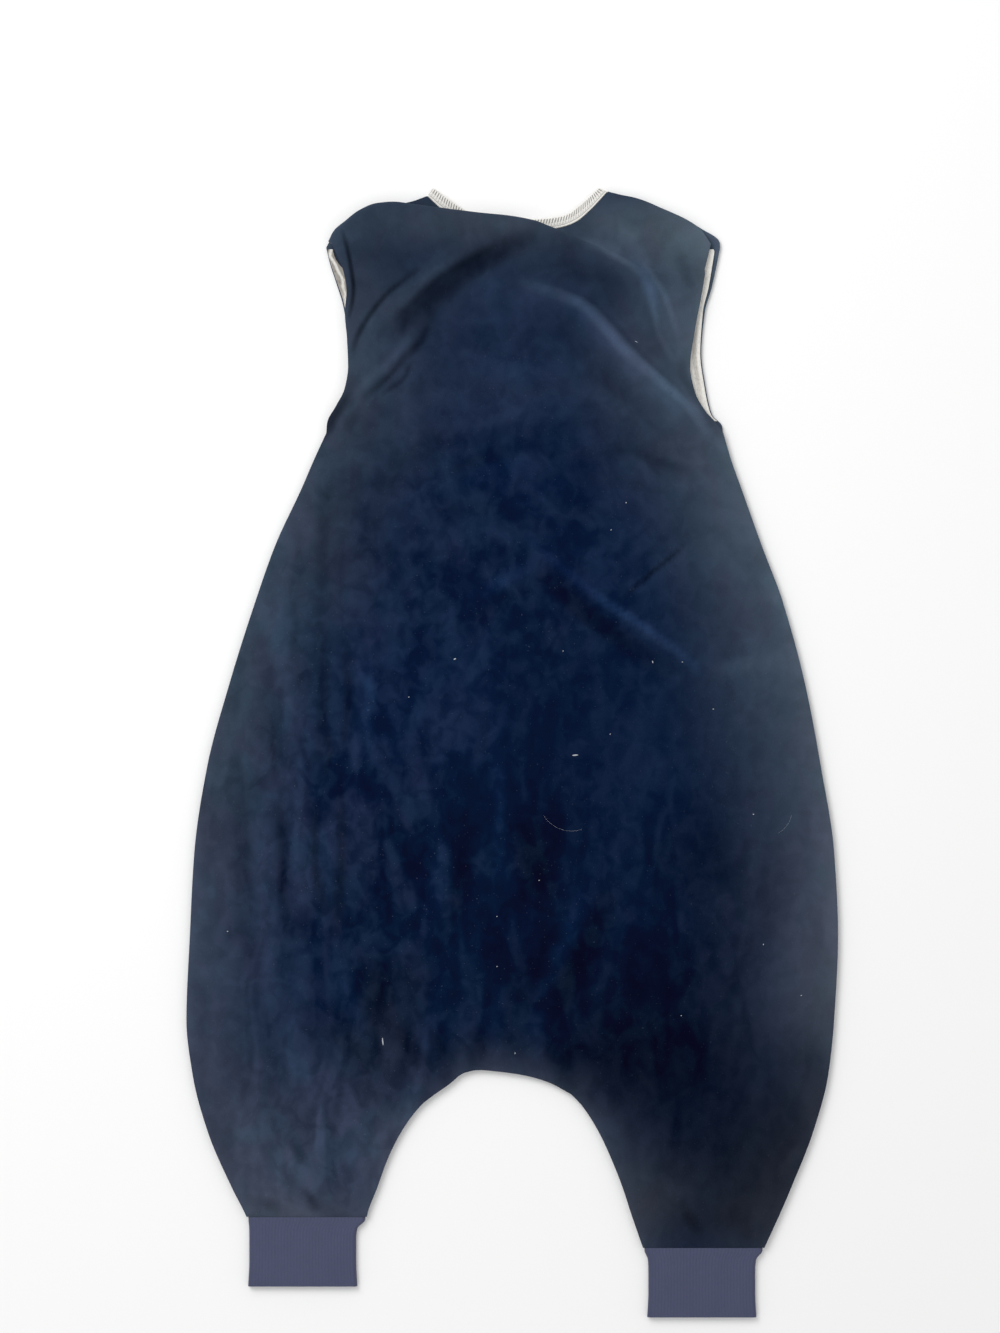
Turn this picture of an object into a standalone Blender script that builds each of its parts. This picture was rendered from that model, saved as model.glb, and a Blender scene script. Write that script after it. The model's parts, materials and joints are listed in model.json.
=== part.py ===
"""Sleep sack laid face down: a sleeveless velour sack with legs, rib cuffs and a front zip.

X runs across the sack, +Y towards the neck and +Z up. The front lies on z = 0 and the back on it.
All tables and sizes are in millimetres; the finished meshes are in metres.
"""
import math
from collections import namedtuple

import bmesh
import bpy
from mathutils import Matrix, Vector

MM = 0.001
SEAM_GAP = 0.3
MERGE_DISTANCE = 0.01
SHARP_ANGLE = 50.0

# Cloth walls and levels
FRONT_WALL = 3.4
BACK_WALL = 3.6
FOLD_WALL = 3.2
SEAM_WALL = 2.4
LINING_WALL = 0.8
BINDING_WALL = 2.4
CUFF_WALL = 2.0
SEAM_REACH = 40.0
BACK_SEAM_LEVEL = SEAM_WALL + SEAM_GAP + SEAM_WALL / 2
BACK_ARMHOLE_LEVEL = 6.3
BACK_LEVEL = 8.8
DOME_REACH = 70.0
DOME_POWER = 2.5
ARMHOLE_REACH = 12.0
HEM_REACH = 45.0
CREASE_REACH = 25.0
CREASE_STEPS = 12
CREASE_END = 0.12
LOWEST_BACK = 5.9
LOWEST_OVER_ZIP = 8.5
ZIP_STRIP = 22.0

# Grid of the back panel
COLUMNS = 28
LEG_COLUMNS = 11
LEG_ROWS = 7
BODY_ROWS = 25
YOKE_ROWS = 14
ARC_STEPS = 5
RUN_STEPS = 2
HEM_STEPS = 3
HEM_LEVEL = 0.78
LONG_HEM = 30.0
NECK_LEFT = 7
NECK_RIGHT = 20
STATION_WIDTH = 12.0
ARCH_FADE = 12

# Grid of each front panel
FRONT_COLUMNS = 14
FRONT_LEG_COLUMNS = 11
FRONT_BODY_ROWS = 14
FRONT_YOKE_ROWS = 9

# Lining that shows inside the armholes
LINING_COLUMNS = 2
LINING_ROWS = 14
LINING_WIDTH = 24.0
LINING_TIP_WIDTH = 5.0
LINING_TAPER_Y = 390.0
LINING_TAPER_REACH = 40.0
LINING_SPAN = (0.07, 0.99)
LINING_TURN_Y = 350.0
LINING_TURN_REACH = 100.0
LINING_INSET = ((1.6, 0.4), (1.0, 4.4))

# Middle of the sack's outline, which becomes the origin
MIDDLE = Vector((-0.2, 1.2, 0.0))

# Levels along the length
UNDERARM_Y = 276.0
SPLIT_Y = -292.4
LEFT_HEM_Y = -398.2
RIGHT_HEM_Y = -424.8

# Front opening
CENTRE_TOP = (3.0, 423.0)
CENTRE_SLOPE = 13.75 / 695.0
FRONT_NECK_DEPTH = 66.0
BINDING_WIDTH = 9.5
BINDING_ROWS = 3
BINDING_EDGE = 0.75
SLOT_HALF = 4.5
ZIP_END_Y = -212.0

# Zip
CHAIN_WIDTH = 6.0
CHAIN_THICK = 2.4
CHAIN_SOFT = 0.4
CHAIN_END = 4.0
TAPE_WIDTH = 14.0
TAPE_THICK = 0.6
TAPE_TOP = 0.5
TAPE_END = 2.0
TAPE_LEVEL = FRONT_WALL + SEAM_GAP + TAPE_THICK / 2
SLIDER_WIDTH = 8.4
SLIDER_LENGTH = 11.0
SLIDER_PLATE = 0.9
SLIDER_TOP = 2.5
SLIDER_POST = (2.4, 2.5)
POST_TOP = 0.4
HINGE_RISE = 2.0
SLIDER_EAR = (0.8, 2.2, 1.2)
EAR_INSIDE = 2.8
PULL_LENGTH = 22.0
PULL_WIDTH = 4.8
PULL_THICK = 0.9
PULL_SOFT = 0.35
PULL_LEVEL = 0.9

# Cuffs
CUFF_LENGTH = 60.0
CUFF_WIDTH = 92.0
CUFF_HEIGHT = 5.1
CUFF_INSET = 3.0
CUFF_POINTS = 24
LEFT_CUFF_X = -180.6
RIGHT_CUFF_X = 163.0

# Rings of a cuff: distance below the hem, share of the cuff's own middle and width, extra width
Ring = namedtuple("Ring", "down own extra")
CUFF_RINGS = (
    Ring(0.0, 0.0, 0.0),
    Ring(2.5, 0.0, 0.0),
    Ring(10.0, 0.85, 0.0),
    Ring(18.0, 1.0, 0.0),
    Ring(38.0, 1.0, 0.0),
    Ring(CUFF_LENGTH - SEAM_GAP, 1.0, 2.0),
)

# Finishes: base colour, roughness and metallic value
Finish = namedtuple("Finish", "color roughness metallic")
VELOUR = Finish((0.013, 0.027, 0.058), 0.9, 0.0)
LINING_JERSEY = Finish((0.58, 0.56, 0.53), 0.9, 0.0)
NECK_RIB = Finish((0.59, 0.58, 0.55), 0.85, 0.0)
CUFF_RIB = Finish((0.070, 0.080, 0.138), 0.85, 0.0)
ZIP_WEAVE = Finish((0.012, 0.018, 0.035), 0.7, 0.0)
ZIP_METAL = Finish((0.10, 0.11, 0.13), 0.4, 0.6)

Side = namedtuple("Side", "y left right")
SIDES = (
    Side(-424.8, -218.0, 216.8),
    Side(-397.3, -229.2, 229.2),
    Side(-373.2, -241.2, 239.5),
    Side(-325.1, -261.9, 258.4),
    Side(-276.9, -274.8, 271.3),
    Side(-228.8, -280.3, 276.5),
    Side(-156.5, -277.4, 279.9),
    Side(-84.3, -273.5, 276.5),
    Side(-12.0, -262.7, 265.3),
    Side(60.2, -243.4, 251.5),
    Side(132.4, -220.6, 231.8),
    Side(180.6, -203.4, 213.7),
    Side(228.8, -181.0, 196.5),
    Side(252.8, -170.7, 187.9),
    Side(276.0, -160.0, 181.2),
)

Inseam = namedtuple("Inseam", "y left right")
INSEAMS = (
    Inseam(-424.8, -128.0, 112.2),
    Inseam(-397.3, -125.1, 102.8),
    Inseam(-373.2, -116.5, 95.0),
    Inseam(-349.2, -107.9, 85.6),
    Inseam(-325.1, -95.9, 74.4),
    Inseam(-301.0, -77.8, 58.9),
    Inseam(-292.4, -66.7, 50.3),
)

Arch = namedtuple("Arch", "x y")
CROTCH = (
    Arch(-66.7, -292.4),
    Arch(-55.5, -284.7),
    Arch(-41.7, -274.2),
    Arch(-28.8, -271.8),
    Arch(-11.6, -273.2),
    Arch(9.9, -276.3),
    Arch(30.5, -282.1),
    Arch(50.3, -292.4),
)

LEFT_ARMHOLE = (
    (-160.0, 276.0), (-159.3, 284.7), (-151.8, 298.4), (-144.4, 312.2), (-141.3, 330.0),
    (-142.3, 352.6), (-144.2, 372.0), (-142.6, 390.0), (-144.8, 404.2), (-149.8, 417.1),
    (-155.4, 429.0),
)
RIGHT_ARMHOLE = (
    (181.2, 276.0), (176.4, 283.2), (166.4, 294.1), (157.0, 311.0), (152.6, 334.0),
    (156.1, 362.9), (162.1, 395.6), (165.3, 414.5),
)
FRONT_LEFT_ARMHOLE = (
    (-160.0, 276.0), (-158.6, 284.7), (-150.8, 298.4), (-143.4, 312.2), (-140.3, 330.0),
    (-141.3, 352.6), (-143.4, 372.0), (-146.3, 388.0), (-151.6, 405.0), (-157.4, 423.1),
    (-160.4, 436.0),
)
FRONT_RIGHT_ARMHOLE = (
    (181.2, 276.0), (180.4, 282.5), (171.9, 292.0), (166.0, 317.3), (162.6, 345.0),
    (165.6, 380.1), (171.6, 401.6), (175.9, 421.4), (178.8, 436.0),
)
FRONT_LEFT_SHOULDER = (
    (-160.4, 436.0), (-157.0, 442.2), (-150.5, 448.6), (-142.0, 455.6), (-130.5, 463.6),
    (-117.0, 469.6), (-102.0, 472.6), (-87.8, 475.2), (-73.5, 479.9),
)
FRONT_RIGHT_SHOULDER = (
    (178.8, 436.0), (178.3, 441.2), (174.2, 445.5), (163.8, 451.5), (148.4, 461.0),
    (126.9, 470.4), (108.8, 478.0), (92.0, 481.6), (82.1, 483.8),
)
NECK_POINTS = ((-73.5, 479.9), (82.1, 483.8))
BINDING_POINTS = ((-67.9, 487.0), (74.3, 487.2))
BINDING_FREE_EDGE = (
    (-67.9, 487.0), (-50.3, 474.4), (-33.0, 464.6), (-4.0, 459.4), (15.6, 460.3),
    (34.0, 461.6), (46.9, 464.4), (58.0, 472.6), (74.3, 487.2),
)

# Slump fold of the back over its neck and left shoulder: where its ridge shows, how far it turns,
# how far it runs back under itself, the level of the cloth under it and of the seam beyond
Slump = namedtuple("Slump", "station x y turn back low seam")
SLUMP = (
    Slump(0.0, -158.5, 440.0, 125.0, 2.0, 6.9, 6.9),
    Slump(1.0, -153.4, 449.3, 150.0, 3.6, 6.7, 6.6),
    Slump(2.0, -143.8, 457.6, 168.0, 4.6, 6.0, 5.6),
    Slump(3.0, -131.5, 467.0, 176.0, 6.4, 5.6, 4.6),
    Slump(4.0, -117.0, 473.0, 180.0, 8.5, 5.5, 3.9),
    Slump(5.0, -102.0, 474.3, 180.0, 10.0, 5.5, 3.9),
    Slump(6.0, -87.5, 472.6, 180.0, 12.0, 5.4, 4.0),
    Slump(7.0, -73.5, 470.8, 180.0, 14.0, 5.2, 4.1),
    Slump(9.0, -50.5, 467.8, 180.0, 16.5, 4.8, 3.9),
    Slump(11.0, -27.0, 465.0, 180.0, 17.0, 4.2, 3.3),
    Slump(13.0, -3.5, 462.6, 178.0, 15.0, 4.0, 3.2),
    Slump(15.0, 19.5, 457.9, 165.0, 9.0, 4.2, 3.4),
    Slump(16.0, 31.0, 453.4, 136.0, 5.0, 4.6, 3.5),
    Slump(17.0, 43.4, 448.9, 95.0, 3.2, 5.2, 3.6),
    Slump(18.0, 56.0, 442.9, 66.0, 1.6, 5.8, 3.8),
    Slump(20.0, 82.1, 431.5, 44.0, 1.2, 6.8, 3.9),
    Slump(23.0, 113.0, 418.0, 24.0, 0.8, 7.4, 3.9),
    Slump(25.0, 133.0, 413.6, 16.0, 0.8, 7.4, 3.9),
    Slump(27.0, 154.5, 413.8, 14.0, 0.8, 6.9, 4.6),
    Slump(28.0, 165.3, 414.5, 14.0, 0.8, 6.4, 5.7),
)
TIGHT_RADIUS = 2.0
FULL_TURN = 120.0
TURN_POWER = 1.2
SLUMP_RISE = 8.0
SLUMP_REACH = 80.0

Seam = namedtuple("Seam", "station x y")
LEFT_SHOULDER_SEAM = (
    Seam(0, -157.4, 439.4), Seam(1, -151.6, 447.4), Seam(2, -142.6, 454.8), Seam(3, -130.5, 463.4),
    Seam(4, -117.0, 469.4), Seam(5, -102.0, 472.4), Seam(6, -87.8, 475.0), Seam(7, -73.5, 479.9),
)
NECK_SEAM = (
    Seam(7, -73.5, 479.9), Seam(8, -62.0, 469.2), Seam(9, -50.5, 460.8), Seam(11, -27.5, 452.4),
    Seam(13, -4.5, 449.8), Seam(15, 19.5, 450.2), Seam(16, 31.3, 451.0), Seam(17, 43.4, 453.2),
    Seam(18, 54.8, 457.6), Seam(19, 67.0, 467.6), Seam(20, 82.1, 483.8),
)
RIGHT_SHOULDER_SEAM = (
    Seam(20, 82.1, 483.8), Seam(21, 93.5, 481.0), Seam(22, 104.5, 478.8), Seam(23, 115.5, 475.2),
    Seam(24, 126.9, 470.2), Seam(25, 138.5, 465.2), Seam(26, 150.0, 459.6), Seam(27, 161.5, 451.6),
    Seam(28, 170.7, 438.6),
)

# Soft ridges (rise above nought) and troughs (below) of the back, from start by way of bend to end
Crease = namedtuple("Crease", "x1 y1 x2 y2 x3 y3 rise spread")
CREASES = (
    Crease(-147.0, 440.0, -138.0, 415.0, -137.0, 375.0, -2.0, 9.0),
    Crease(-24.5, 443.0, -80.0, 410.0, -128.0, 358.0, 2.6, 15.0),
    Crease(-10.0, 432.0, -52.0, 408.0, -84.0, 376.0, -3.6, 14.0),
    Crease(-78.0, 380.0, -96.0, 322.0, -150.0, 280.0, 3.6, 13.0),
    Crease(-74.0, 362.0, -86.0, 318.0, -125.0, 295.0, -2.4, 11.0),
    Crease(98.0, 450.0, 122.0, 418.0, 147.0, 350.0, 3.4, 13.0),
    Crease(110.0, 420.0, 112.0, 380.0, 126.0, 350.0, -2.0, 9.0),
    Crease(40.0, 402.0, 96.0, 356.0, 172.0, 262.0, 4.2, 22.0),
    Crease(34.0, 372.0, 70.0, 340.0, 92.0, 300.0, -1.8, 18.0),
    Crease(44.0, 168.0, 86.0, 128.0, 144.0, 84.0, 2.6, 15.0),
    Crease(134.0, 176.0, 118.0, 158.0, 99.0, 137.0, -2.0, 10.0),
    Crease(-160.0, 190.0, -168.0, 60.0, -158.0, -80.0, 2.0, 20.0),
    Crease(-205.0, 60.0, -212.0, -30.0, -196.0, -120.0, -1.8, 16.0),
    Crease(-120.0, 20.0, -112.0, -90.0, -120.0, -190.0, -1.4, 22.0),
    Crease(222.0, 146.0, 232.0, 128.0, 240.0, 110.0, 1.8, 12.0),
    Crease(-218.0, -268.0, -224.0, -300.0, -216.0, -330.0, -2.0, 14.0),
    Crease(-194.0, -332.0, -188.0, -348.0, -178.0, -364.0, 2.4, 12.0),
    Crease(246.0, -236.0, 244.0, -270.0, 236.0, -300.0, -2.0, 14.0),
    Crease(150.0, -388.0, 156.0, -398.0, 162.0, -410.0, -2.2, 12.0),
)

# Broad unevenness of the padded back: products of two sine waves, in radians a millimetre
Pucker = namedtuple("Pucker", "rise x1 y1 shift1 x2 y2 shift2")
PUCKERS = (
    Pucker(0.5, 0.0213, 0.0105, 0.6, -0.00625, 0.0141, 0.0),
    Pucker(0.35, 0.0345, 0.0, -1.1, 0.0111, 0.0083, 2.0),
)


def table_value(rows, at):
    """Values of a table at a knot, on a smooth curve that never overshoots its rows."""
    if at <= rows[0][0]:
        return list(rows[0][1:])
    if at >= rows[-1][0]:
        return list(rows[-1][1:])
    low = max(k for k in range(len(rows) - 1) if rows[k][0] <= at)
    span = rows[low + 1][0] - rows[low][0]
    t = (at - rows[low][0]) / span
    values = []
    for field in range(1, len(rows[0])):
        start, end = rows[low][field], rows[low + 1][field]
        a = table_slope(rows, low, field) * span
        b = table_slope(rows, low + 1, field) * span
        values.append(start * (1 + 2 * t) * (1 - t) ** 2 + a * t * (1 - t) ** 2
                      + end * t * t * (3 - 2 * t) - b * t * t * (1 - t))
    return values


def table_slope(rows, k, field):
    """Slope at a row: the harmonic mean of its two neighbours' slopes, nought at a turning point."""
    slopes = []
    for first in (k - 1, k):
        if 0 <= first < len(rows) - 1:
            run = rows[first + 1][0] - rows[first][0]
            slopes.append((rows[first + 1][field] - rows[first][field]) / run)
    if len(slopes) == 1:
        return slopes[0]
    if slopes[0] * slopes[1] <= 0:
        return 0.0
    return 2 * slopes[0] * slopes[1] / (slopes[0] + slopes[1])


def by_length(points):
    """Plan points as table rows whose knot is the share of the length walked."""
    lengths = [0.0]
    for (x0, y0), (x1, y1) in zip(points, points[1:]):
        lengths.append(lengths[-1] + math.hypot(x1 - x0, y1 - y0))
    return [(length / lengths[-1], *point) for length, point in zip(lengths, points)]


def mix(a, b, t):
    """Blend of two numbers or of two points."""
    if isinstance(a, (tuple, list)):
        return [mix(p, q, t) for p, q in zip(a, b)]
    return a + (b - a) * t


def ease(t):
    """Smooth step from 0 to 1."""
    t = min(max(t, 0.0), 1.0)
    return t * t * (3 - 2 * t)


def stretch(bottom, top, left, right, u, v):
    """Plan point of a patch stretched between its four edge curves."""
    corners = mix(mix(bottom(0), bottom(1), u), mix(top(0), top(1), u), v)
    across = mix(left(v), right(v), u)
    along = mix(bottom(u), top(u), v)
    return [p + q - c for p, q, c in zip(across, along, corners)]


def side_x(y):
    """Left and right outline at a height along the sack."""
    return table_value(SIDES, y)


def centre_x(y):
    """Centre line of the front opening."""
    return CENTRE_TOP[0] + (y - CENTRE_TOP[1]) * CENTRE_SLOPE


def crotch_y(x):
    """Edge between the legs."""
    return table_value(CROTCH, x)[0]


def seam_point(station):
    """Upper edge of the back panel: shoulder, neck and shoulder."""
    if station <= NECK_LEFT:
        return table_value(LEFT_SHOULDER_SEAM, station)
    if station <= NECK_RIGHT:
        return table_value(NECK_SEAM, station)
    return table_value(RIGHT_SHOULDER_SEAM, station)


class SlumpFold:
    """Section of the slump fold at one station across the back."""

    def __init__(self, station):
        x, y, turn, self.back, self.low, self.seam = table_value(SLUMP, station)
        before = table_value(SLUMP, station - 0.5)
        after = table_value(SLUMP, station + 0.5)
        run = Vector((after[0] - before[0], after[1] - before[1])).normalized()
        self.outward = (-run.y, run.x)
        self.turn = math.radians(turn)
        wanted = SLUMP_RISE * min(turn / FULL_TURN, 1.0) ** TURN_POWER
        wanted -= self.back * math.sin(self.turn)
        self.radius = max(TIGHT_RADIUS, wanted / (2 * (1 - math.cos(self.turn))))
        self.rise = 2 * self.radius * (1 - math.cos(self.turn)) + self.back * math.sin(self.turn)
        lead = (self.radius + FOLD_WALL / 2) * math.sin(min(self.turn, math.pi / 2))
        self.start = (x - self.outward[0] * lead, y - self.outward[1] * lead)
        self.end = seam_point(station)

    def point(self, share):
        """Middle of the wall along the fold: out and down, back under, and level again."""
        arc = ARC_STEPS / (2 * ARC_STEPS + RUN_STEPS)
        first = self.turn * min(share / arc, 1.0)
        run = self.back * min(max((share - arc) / (1 - 2 * arc), 0.0), 1.0)
        last = self.turn * (1 - min(max((share - 1 + arc) / arc, 0.0), 1.0))
        out = self.radius * math.sin(first) + run * math.cos(self.turn)
        out += self.radius * (math.sin(self.turn) - math.sin(last))
        drop = self.radius * (1 - math.cos(first)) + run * math.sin(self.turn)
        drop += self.radius * (math.cos(last) - math.cos(self.turn))
        plan = [s + o * out for s, o in zip(self.start, self.outward)]
        return plan, self.low + self.rise - drop


def crease_rise(x, y):
    """Sum of the ridges and troughs at a plan point."""
    total = 0.0
    for crease in CREASES:
        nearest, share = 1e9, 0.0
        for step in range(CREASE_STEPS + 1):
            t = step / CREASE_STEPS
            px = (1 - t) ** 2 * crease.x1 + 2 * t * (1 - t) * crease.x2 + t * t * crease.x3
            py = (1 - t) ** 2 * crease.y1 + 2 * t * (1 - t) * crease.y2 + t * t * crease.y3
            gap = math.hypot(x - px, y - py)
            if gap < nearest:
                nearest, share = gap, t
        taper = math.sin(math.pi * mix(CREASE_END, 1 - CREASE_END, share))
        total += crease.rise * taper * math.exp(-(nearest / crease.spread) ** 2)
    return total


def pucker(x, y):
    """Broad unevenness of the padded back."""
    total = 0.0
    for wave in PUCKERS:
        first = math.sin(x * wave.x1 + y * wave.y1 + wave.shift1)
        second = math.sin(x * wave.x2 + y * wave.y2 + wave.shift2)
        total += wave.rise * first * second
    return total


def arch_distance(x, y):
    """Distance from the edge between the legs."""
    aside = max(CROTCH[0].x - x, x - CROTCH[-1].x, 0.0)
    return math.hypot(aside, max(y - crotch_y(x), 0.0))


def back_height(x, y, edge, armhole):
    """Middle of the back's wall: seam level at an edge, domed and creased inside it."""
    level = mix(BACK_SEAM_LEVEL, BACK_ARMHOLE_LEVEL, armhole)
    dome = 1 - (1 - min(edge / DOME_REACH, 1.0)) ** DOME_POWER
    height = mix(level, BACK_LEVEL, dome)
    height += (crease_rise(x, y) + pucker(x, y)) * ease(edge / CREASE_REACH)
    lowest = LOWEST_OVER_ZIP if abs(x - centre_x(y)) < ZIP_STRIP and y > ZIP_END_Y else LOWEST_BACK
    return max(height, min(lowest, mix(level, BACK_LEVEL, dome)), level)


def wall_at(edge, full=BACK_WALL):
    """Thickness of the wall, thinner towards a seam."""
    return mix(SEAM_WALL, full, ease(edge / SEAM_REACH))


def split_share(i, columns, leg, left, right):
    """Share across the body of a column at the row where the legs part."""
    if i <= leg:
        return mix(0.0, left, i / leg)
    if i >= columns - leg:
        return mix(1.0, right, (columns - i) / leg)
    return mix(left, right, (i - leg) / (columns - 2 * leg))


def back_point(i, j):
    """Middle of the back's wall at a column and row, with the wall's thickness."""
    if j < LEG_ROWS:
        return back_leg(i, j / LEG_ROWS)
    if j < LEG_ROWS + BODY_ROWS:
        return back_body(i, (j - LEG_ROWS) / BODY_ROWS)
    yoke = j - LEG_ROWS - BODY_ROWS
    if yoke < YOKE_ROWS:
        return back_yoke(i, yoke / YOKE_ROWS)
    fold = SlumpFold(i)
    step = yoke - YOKE_ROWS
    fold_steps = 2 * ARC_STEPS + RUN_STEPS
    edge = min(i, COLUMNS - i) * STATION_WIDTH
    if step <= fold_steps:
        (x, y), z = fold.point(step / fold_steps)
        return x, y, z, wall_at(edge, FOLD_WALL)
    (x, y), z = fold.point(1.0)
    share = (step - fold_steps) / HEM_STEPS
    level = mix(HEM_LEVEL, 1.0, ease(math.dist((x, y), fold.end) / LONG_HEM))
    x, y = mix([x, y], fold.end, share)
    z = mix(z, fold.seam, ease(share / level))
    return x, y, z, mix(wall_at(edge, FOLD_WALL), SEAM_WALL, share)


def back_leg(i, share):
    """A point of the left or right leg, or nothing between the legs."""
    on_left = i <= LEG_COLUMNS
    if not on_left and i < COLUMNS - LEG_COLUMNS:
        return None
    y = mix(LEFT_HEM_Y if on_left else RIGHT_HEM_Y, SPLIT_Y, share)
    outer = side_x(y)[0 if on_left else 1]
    inner = table_value(INSEAMS, y)[0 if on_left else 1]
    across = i / LEG_COLUMNS if on_left else (COLUMNS - i) / LEG_COLUMNS
    x = mix(outer, inner, across)
    edge = min(across, 1 - across) * abs(outer - inner)
    from_hem = y - (LEFT_HEM_Y if on_left else RIGHT_HEM_Y)
    z = back_height(x, y, edge, 0.0)
    z = mix(BACK_SEAM_LEVEL, z, ease(from_hem / HEM_REACH))
    return x, y, z, wall_at(min(edge, from_hem))


def back_body(i, share):
    """A point between the legs' parting and the underarms."""
    left, right = side_x(SPLIT_Y)
    shares = [(x - left) / (right - left) for x in (CROTCH[0].x, CROTCH[-1].x)]
    parted = split_share(i, COLUMNS, LEG_COLUMNS, *shares)
    y = mix(SPLIT_Y, UNDERARM_Y, share)
    left, right = side_x(y)
    x = mix(left, right, mix(parted, i / COLUMNS, ease(share)))
    if LEG_COLUMNS < i < COLUMNS - LEG_COLUMNS:
        at_split = mix(*side_x(SPLIT_Y), parted)
        y += (crotch_y(at_split) - SPLIT_Y) * (1 - share) ** ARCH_FADE
    edge = min(x - left, right - x, arch_distance(x, y))
    z = back_height(x, y, edge, 0.0)
    return x, y, z, wall_at(edge)


def back_yoke(i, share):
    """A point between the underarms and the slump fold."""
    left_edge, right_edge = by_length(LEFT_ARMHOLE), by_length(RIGHT_ARMHOLE)
    bottom_left, bottom_right = side_x(UNDERARM_Y)

    def bottom(u):
        return [mix(bottom_left, bottom_right, u), UNDERARM_Y]

    def top(u):
        return SlumpFold(u * COLUMNS).start

    def left(v):
        x, y = table_value(left_edge, v)
        start, end = LEFT_ARMHOLE[-1], top(0)
        return [x + (end[0] - start[0]) * ease(v), y + (end[1] - start[1]) * ease(v)]

    def right(v):
        x, y = table_value(right_edge, v)
        start, end = RIGHT_ARMHOLE[-1], top(1)
        return [x + (end[0] - start[0]) * ease(v), y + (end[1] - start[1]) * ease(v)]

    u = i / COLUMNS
    x, y = stretch(bottom, top, left, right, u, share)
    edge = min(x - left(share)[0], right(share)[0] - x)
    armhole = ease((y - UNDERARM_Y) / ARMHOLE_REACH)
    z = back_height(x, y, max(edge, 0.0), armhole)
    fold = SlumpFold(i)
    to_fold = math.dist((x, y), fold.start)
    at_fold = back_height(*fold.start, max(edge, 0.0), armhole)
    z += (fold.low + fold.rise - at_fold) * (1 - ease(to_fold / SLUMP_REACH))
    full = mix(FOLD_WALL, BACK_WALL, ease(to_fold / SEAM_REACH))
    return x, y, z, wall_at(max(edge, 0.0), full)


def front_point(side, i, j):
    """Floor point of a front panel at a column and row, with the wall's thickness."""
    right = side > 0
    if j < LEG_ROWS:
        if i > FRONT_LEG_COLUMNS:
            return None
        hem = RIGHT_HEM_Y if right else LEFT_HEM_Y
        y = mix(hem, SPLIT_Y, j / LEG_ROWS)
        inseam = table_value(INSEAMS, y)[right]
        x = mix(side_x(y)[right], inseam, i / FRONT_LEG_COLUMNS)
        return front_wall(side, x, y, min(y - hem, abs(x - inseam)))
    if j < LEG_ROWS + FRONT_BODY_ROWS:
        share = (j - LEG_ROWS) / FRONT_BODY_ROWS
        y = mix(SPLIT_Y, UNDERARM_Y, share)
        outer, middle = side_x(y)[right], centre_x(y) + side * slot_half(y)
        corner = CROTCH[-1 if right else 0].x
        parted = (corner - side_x(SPLIT_Y)[right]) / (centre_x(SPLIT_Y) - side_x(SPLIT_Y)[right])
        if i <= FRONT_LEG_COLUMNS:
            parted *= i / FRONT_LEG_COLUMNS
        else:
            parted = mix(parted, 1.0, (i - FRONT_LEG_COLUMNS) / (FRONT_COLUMNS - FRONT_LEG_COLUMNS))
        x = mix(outer, middle, mix(parted, i / FRONT_COLUMNS, ease(share)))
        if i > FRONT_LEG_COLUMNS:
            y += (crotch_y(x) - SPLIT_Y) * (1 - share) ** ARCH_FADE
        return front_wall(side, x, y, arch_distance(x, y))
    share = (j - LEG_ROWS - FRONT_BODY_ROWS) / FRONT_YOKE_ROWS
    return front_yoke(side, i / FRONT_COLUMNS, share)


def slot_half(y):
    """Half the width between the front panels: the zip's slot, closed to a seam below it."""
    return SLOT_HALF if y > ZIP_END_Y else SEAM_GAP / 2


def neck_bottom(side):
    """Lower end of the front neck seam, beside the zip."""
    y = NECK_POINTS[0][1] - FRONT_NECK_DEPTH
    return centre_x(y) + side * SLOT_HALF, y


def front_neck(side, share, inward):
    """Quarter ellipse of the front neck, from the zip to the shoulder; inward 1 is its free edge."""
    end_x, end_y = neck_bottom(side)
    end_y += BINDING_WIDTH * inward
    seam, free = NECK_POINTS[side > 0], BINDING_POINTS[side > 0]
    start_x, start_y = mix(list(seam), list(free), inward)
    angle = math.pi / 2 * share
    return [mix(end_x, start_x, math.sin(angle)), mix(end_y, start_y, 1 - math.cos(angle))]


def front_yoke(side, u, v):
    """A point of a front panel above the underarm, from armhole (0) to zip (1)."""
    armhole = by_length(FRONT_RIGHT_ARMHOLE if side > 0 else FRONT_LEFT_ARMHOLE)
    shoulder = by_length(FRONT_RIGHT_SHOULDER if side > 0 else FRONT_LEFT_SHOULDER)
    outer = side_x(UNDERARM_Y)[side > 0]
    inner = centre_x(UNDERARM_Y) + side * SLOT_HALF

    def top(share):
        if share <= 0.5:
            return table_value(shoulder, share * 2)
        return front_neck(side, 2 - share * 2, 0.0)

    def zip_edge(share):
        y = mix(UNDERARM_Y, neck_bottom(side)[1], share)
        return [centre_x(y) + side * SLOT_HALF, y]

    x, y = stretch(lambda share: [mix(outer, inner, share), UNDERARM_Y], top,
                   lambda share: table_value(armhole, share), zip_edge, u, v)
    upper = math.dist((x, y), top(u))
    return front_wall(side, x, y, min(upper, abs(x - table_value(armhole, v)[0])))


def front_wall(side, x, y, edge):
    """A floor point of a front panel with its thickness, thinner at the outer edges."""
    if y < UNDERARM_Y:
        edge = min(edge, abs(x - side_x(y)[side > 0]))
    return x, y, 0.0, wall_at(edge, FRONT_WALL)


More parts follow.
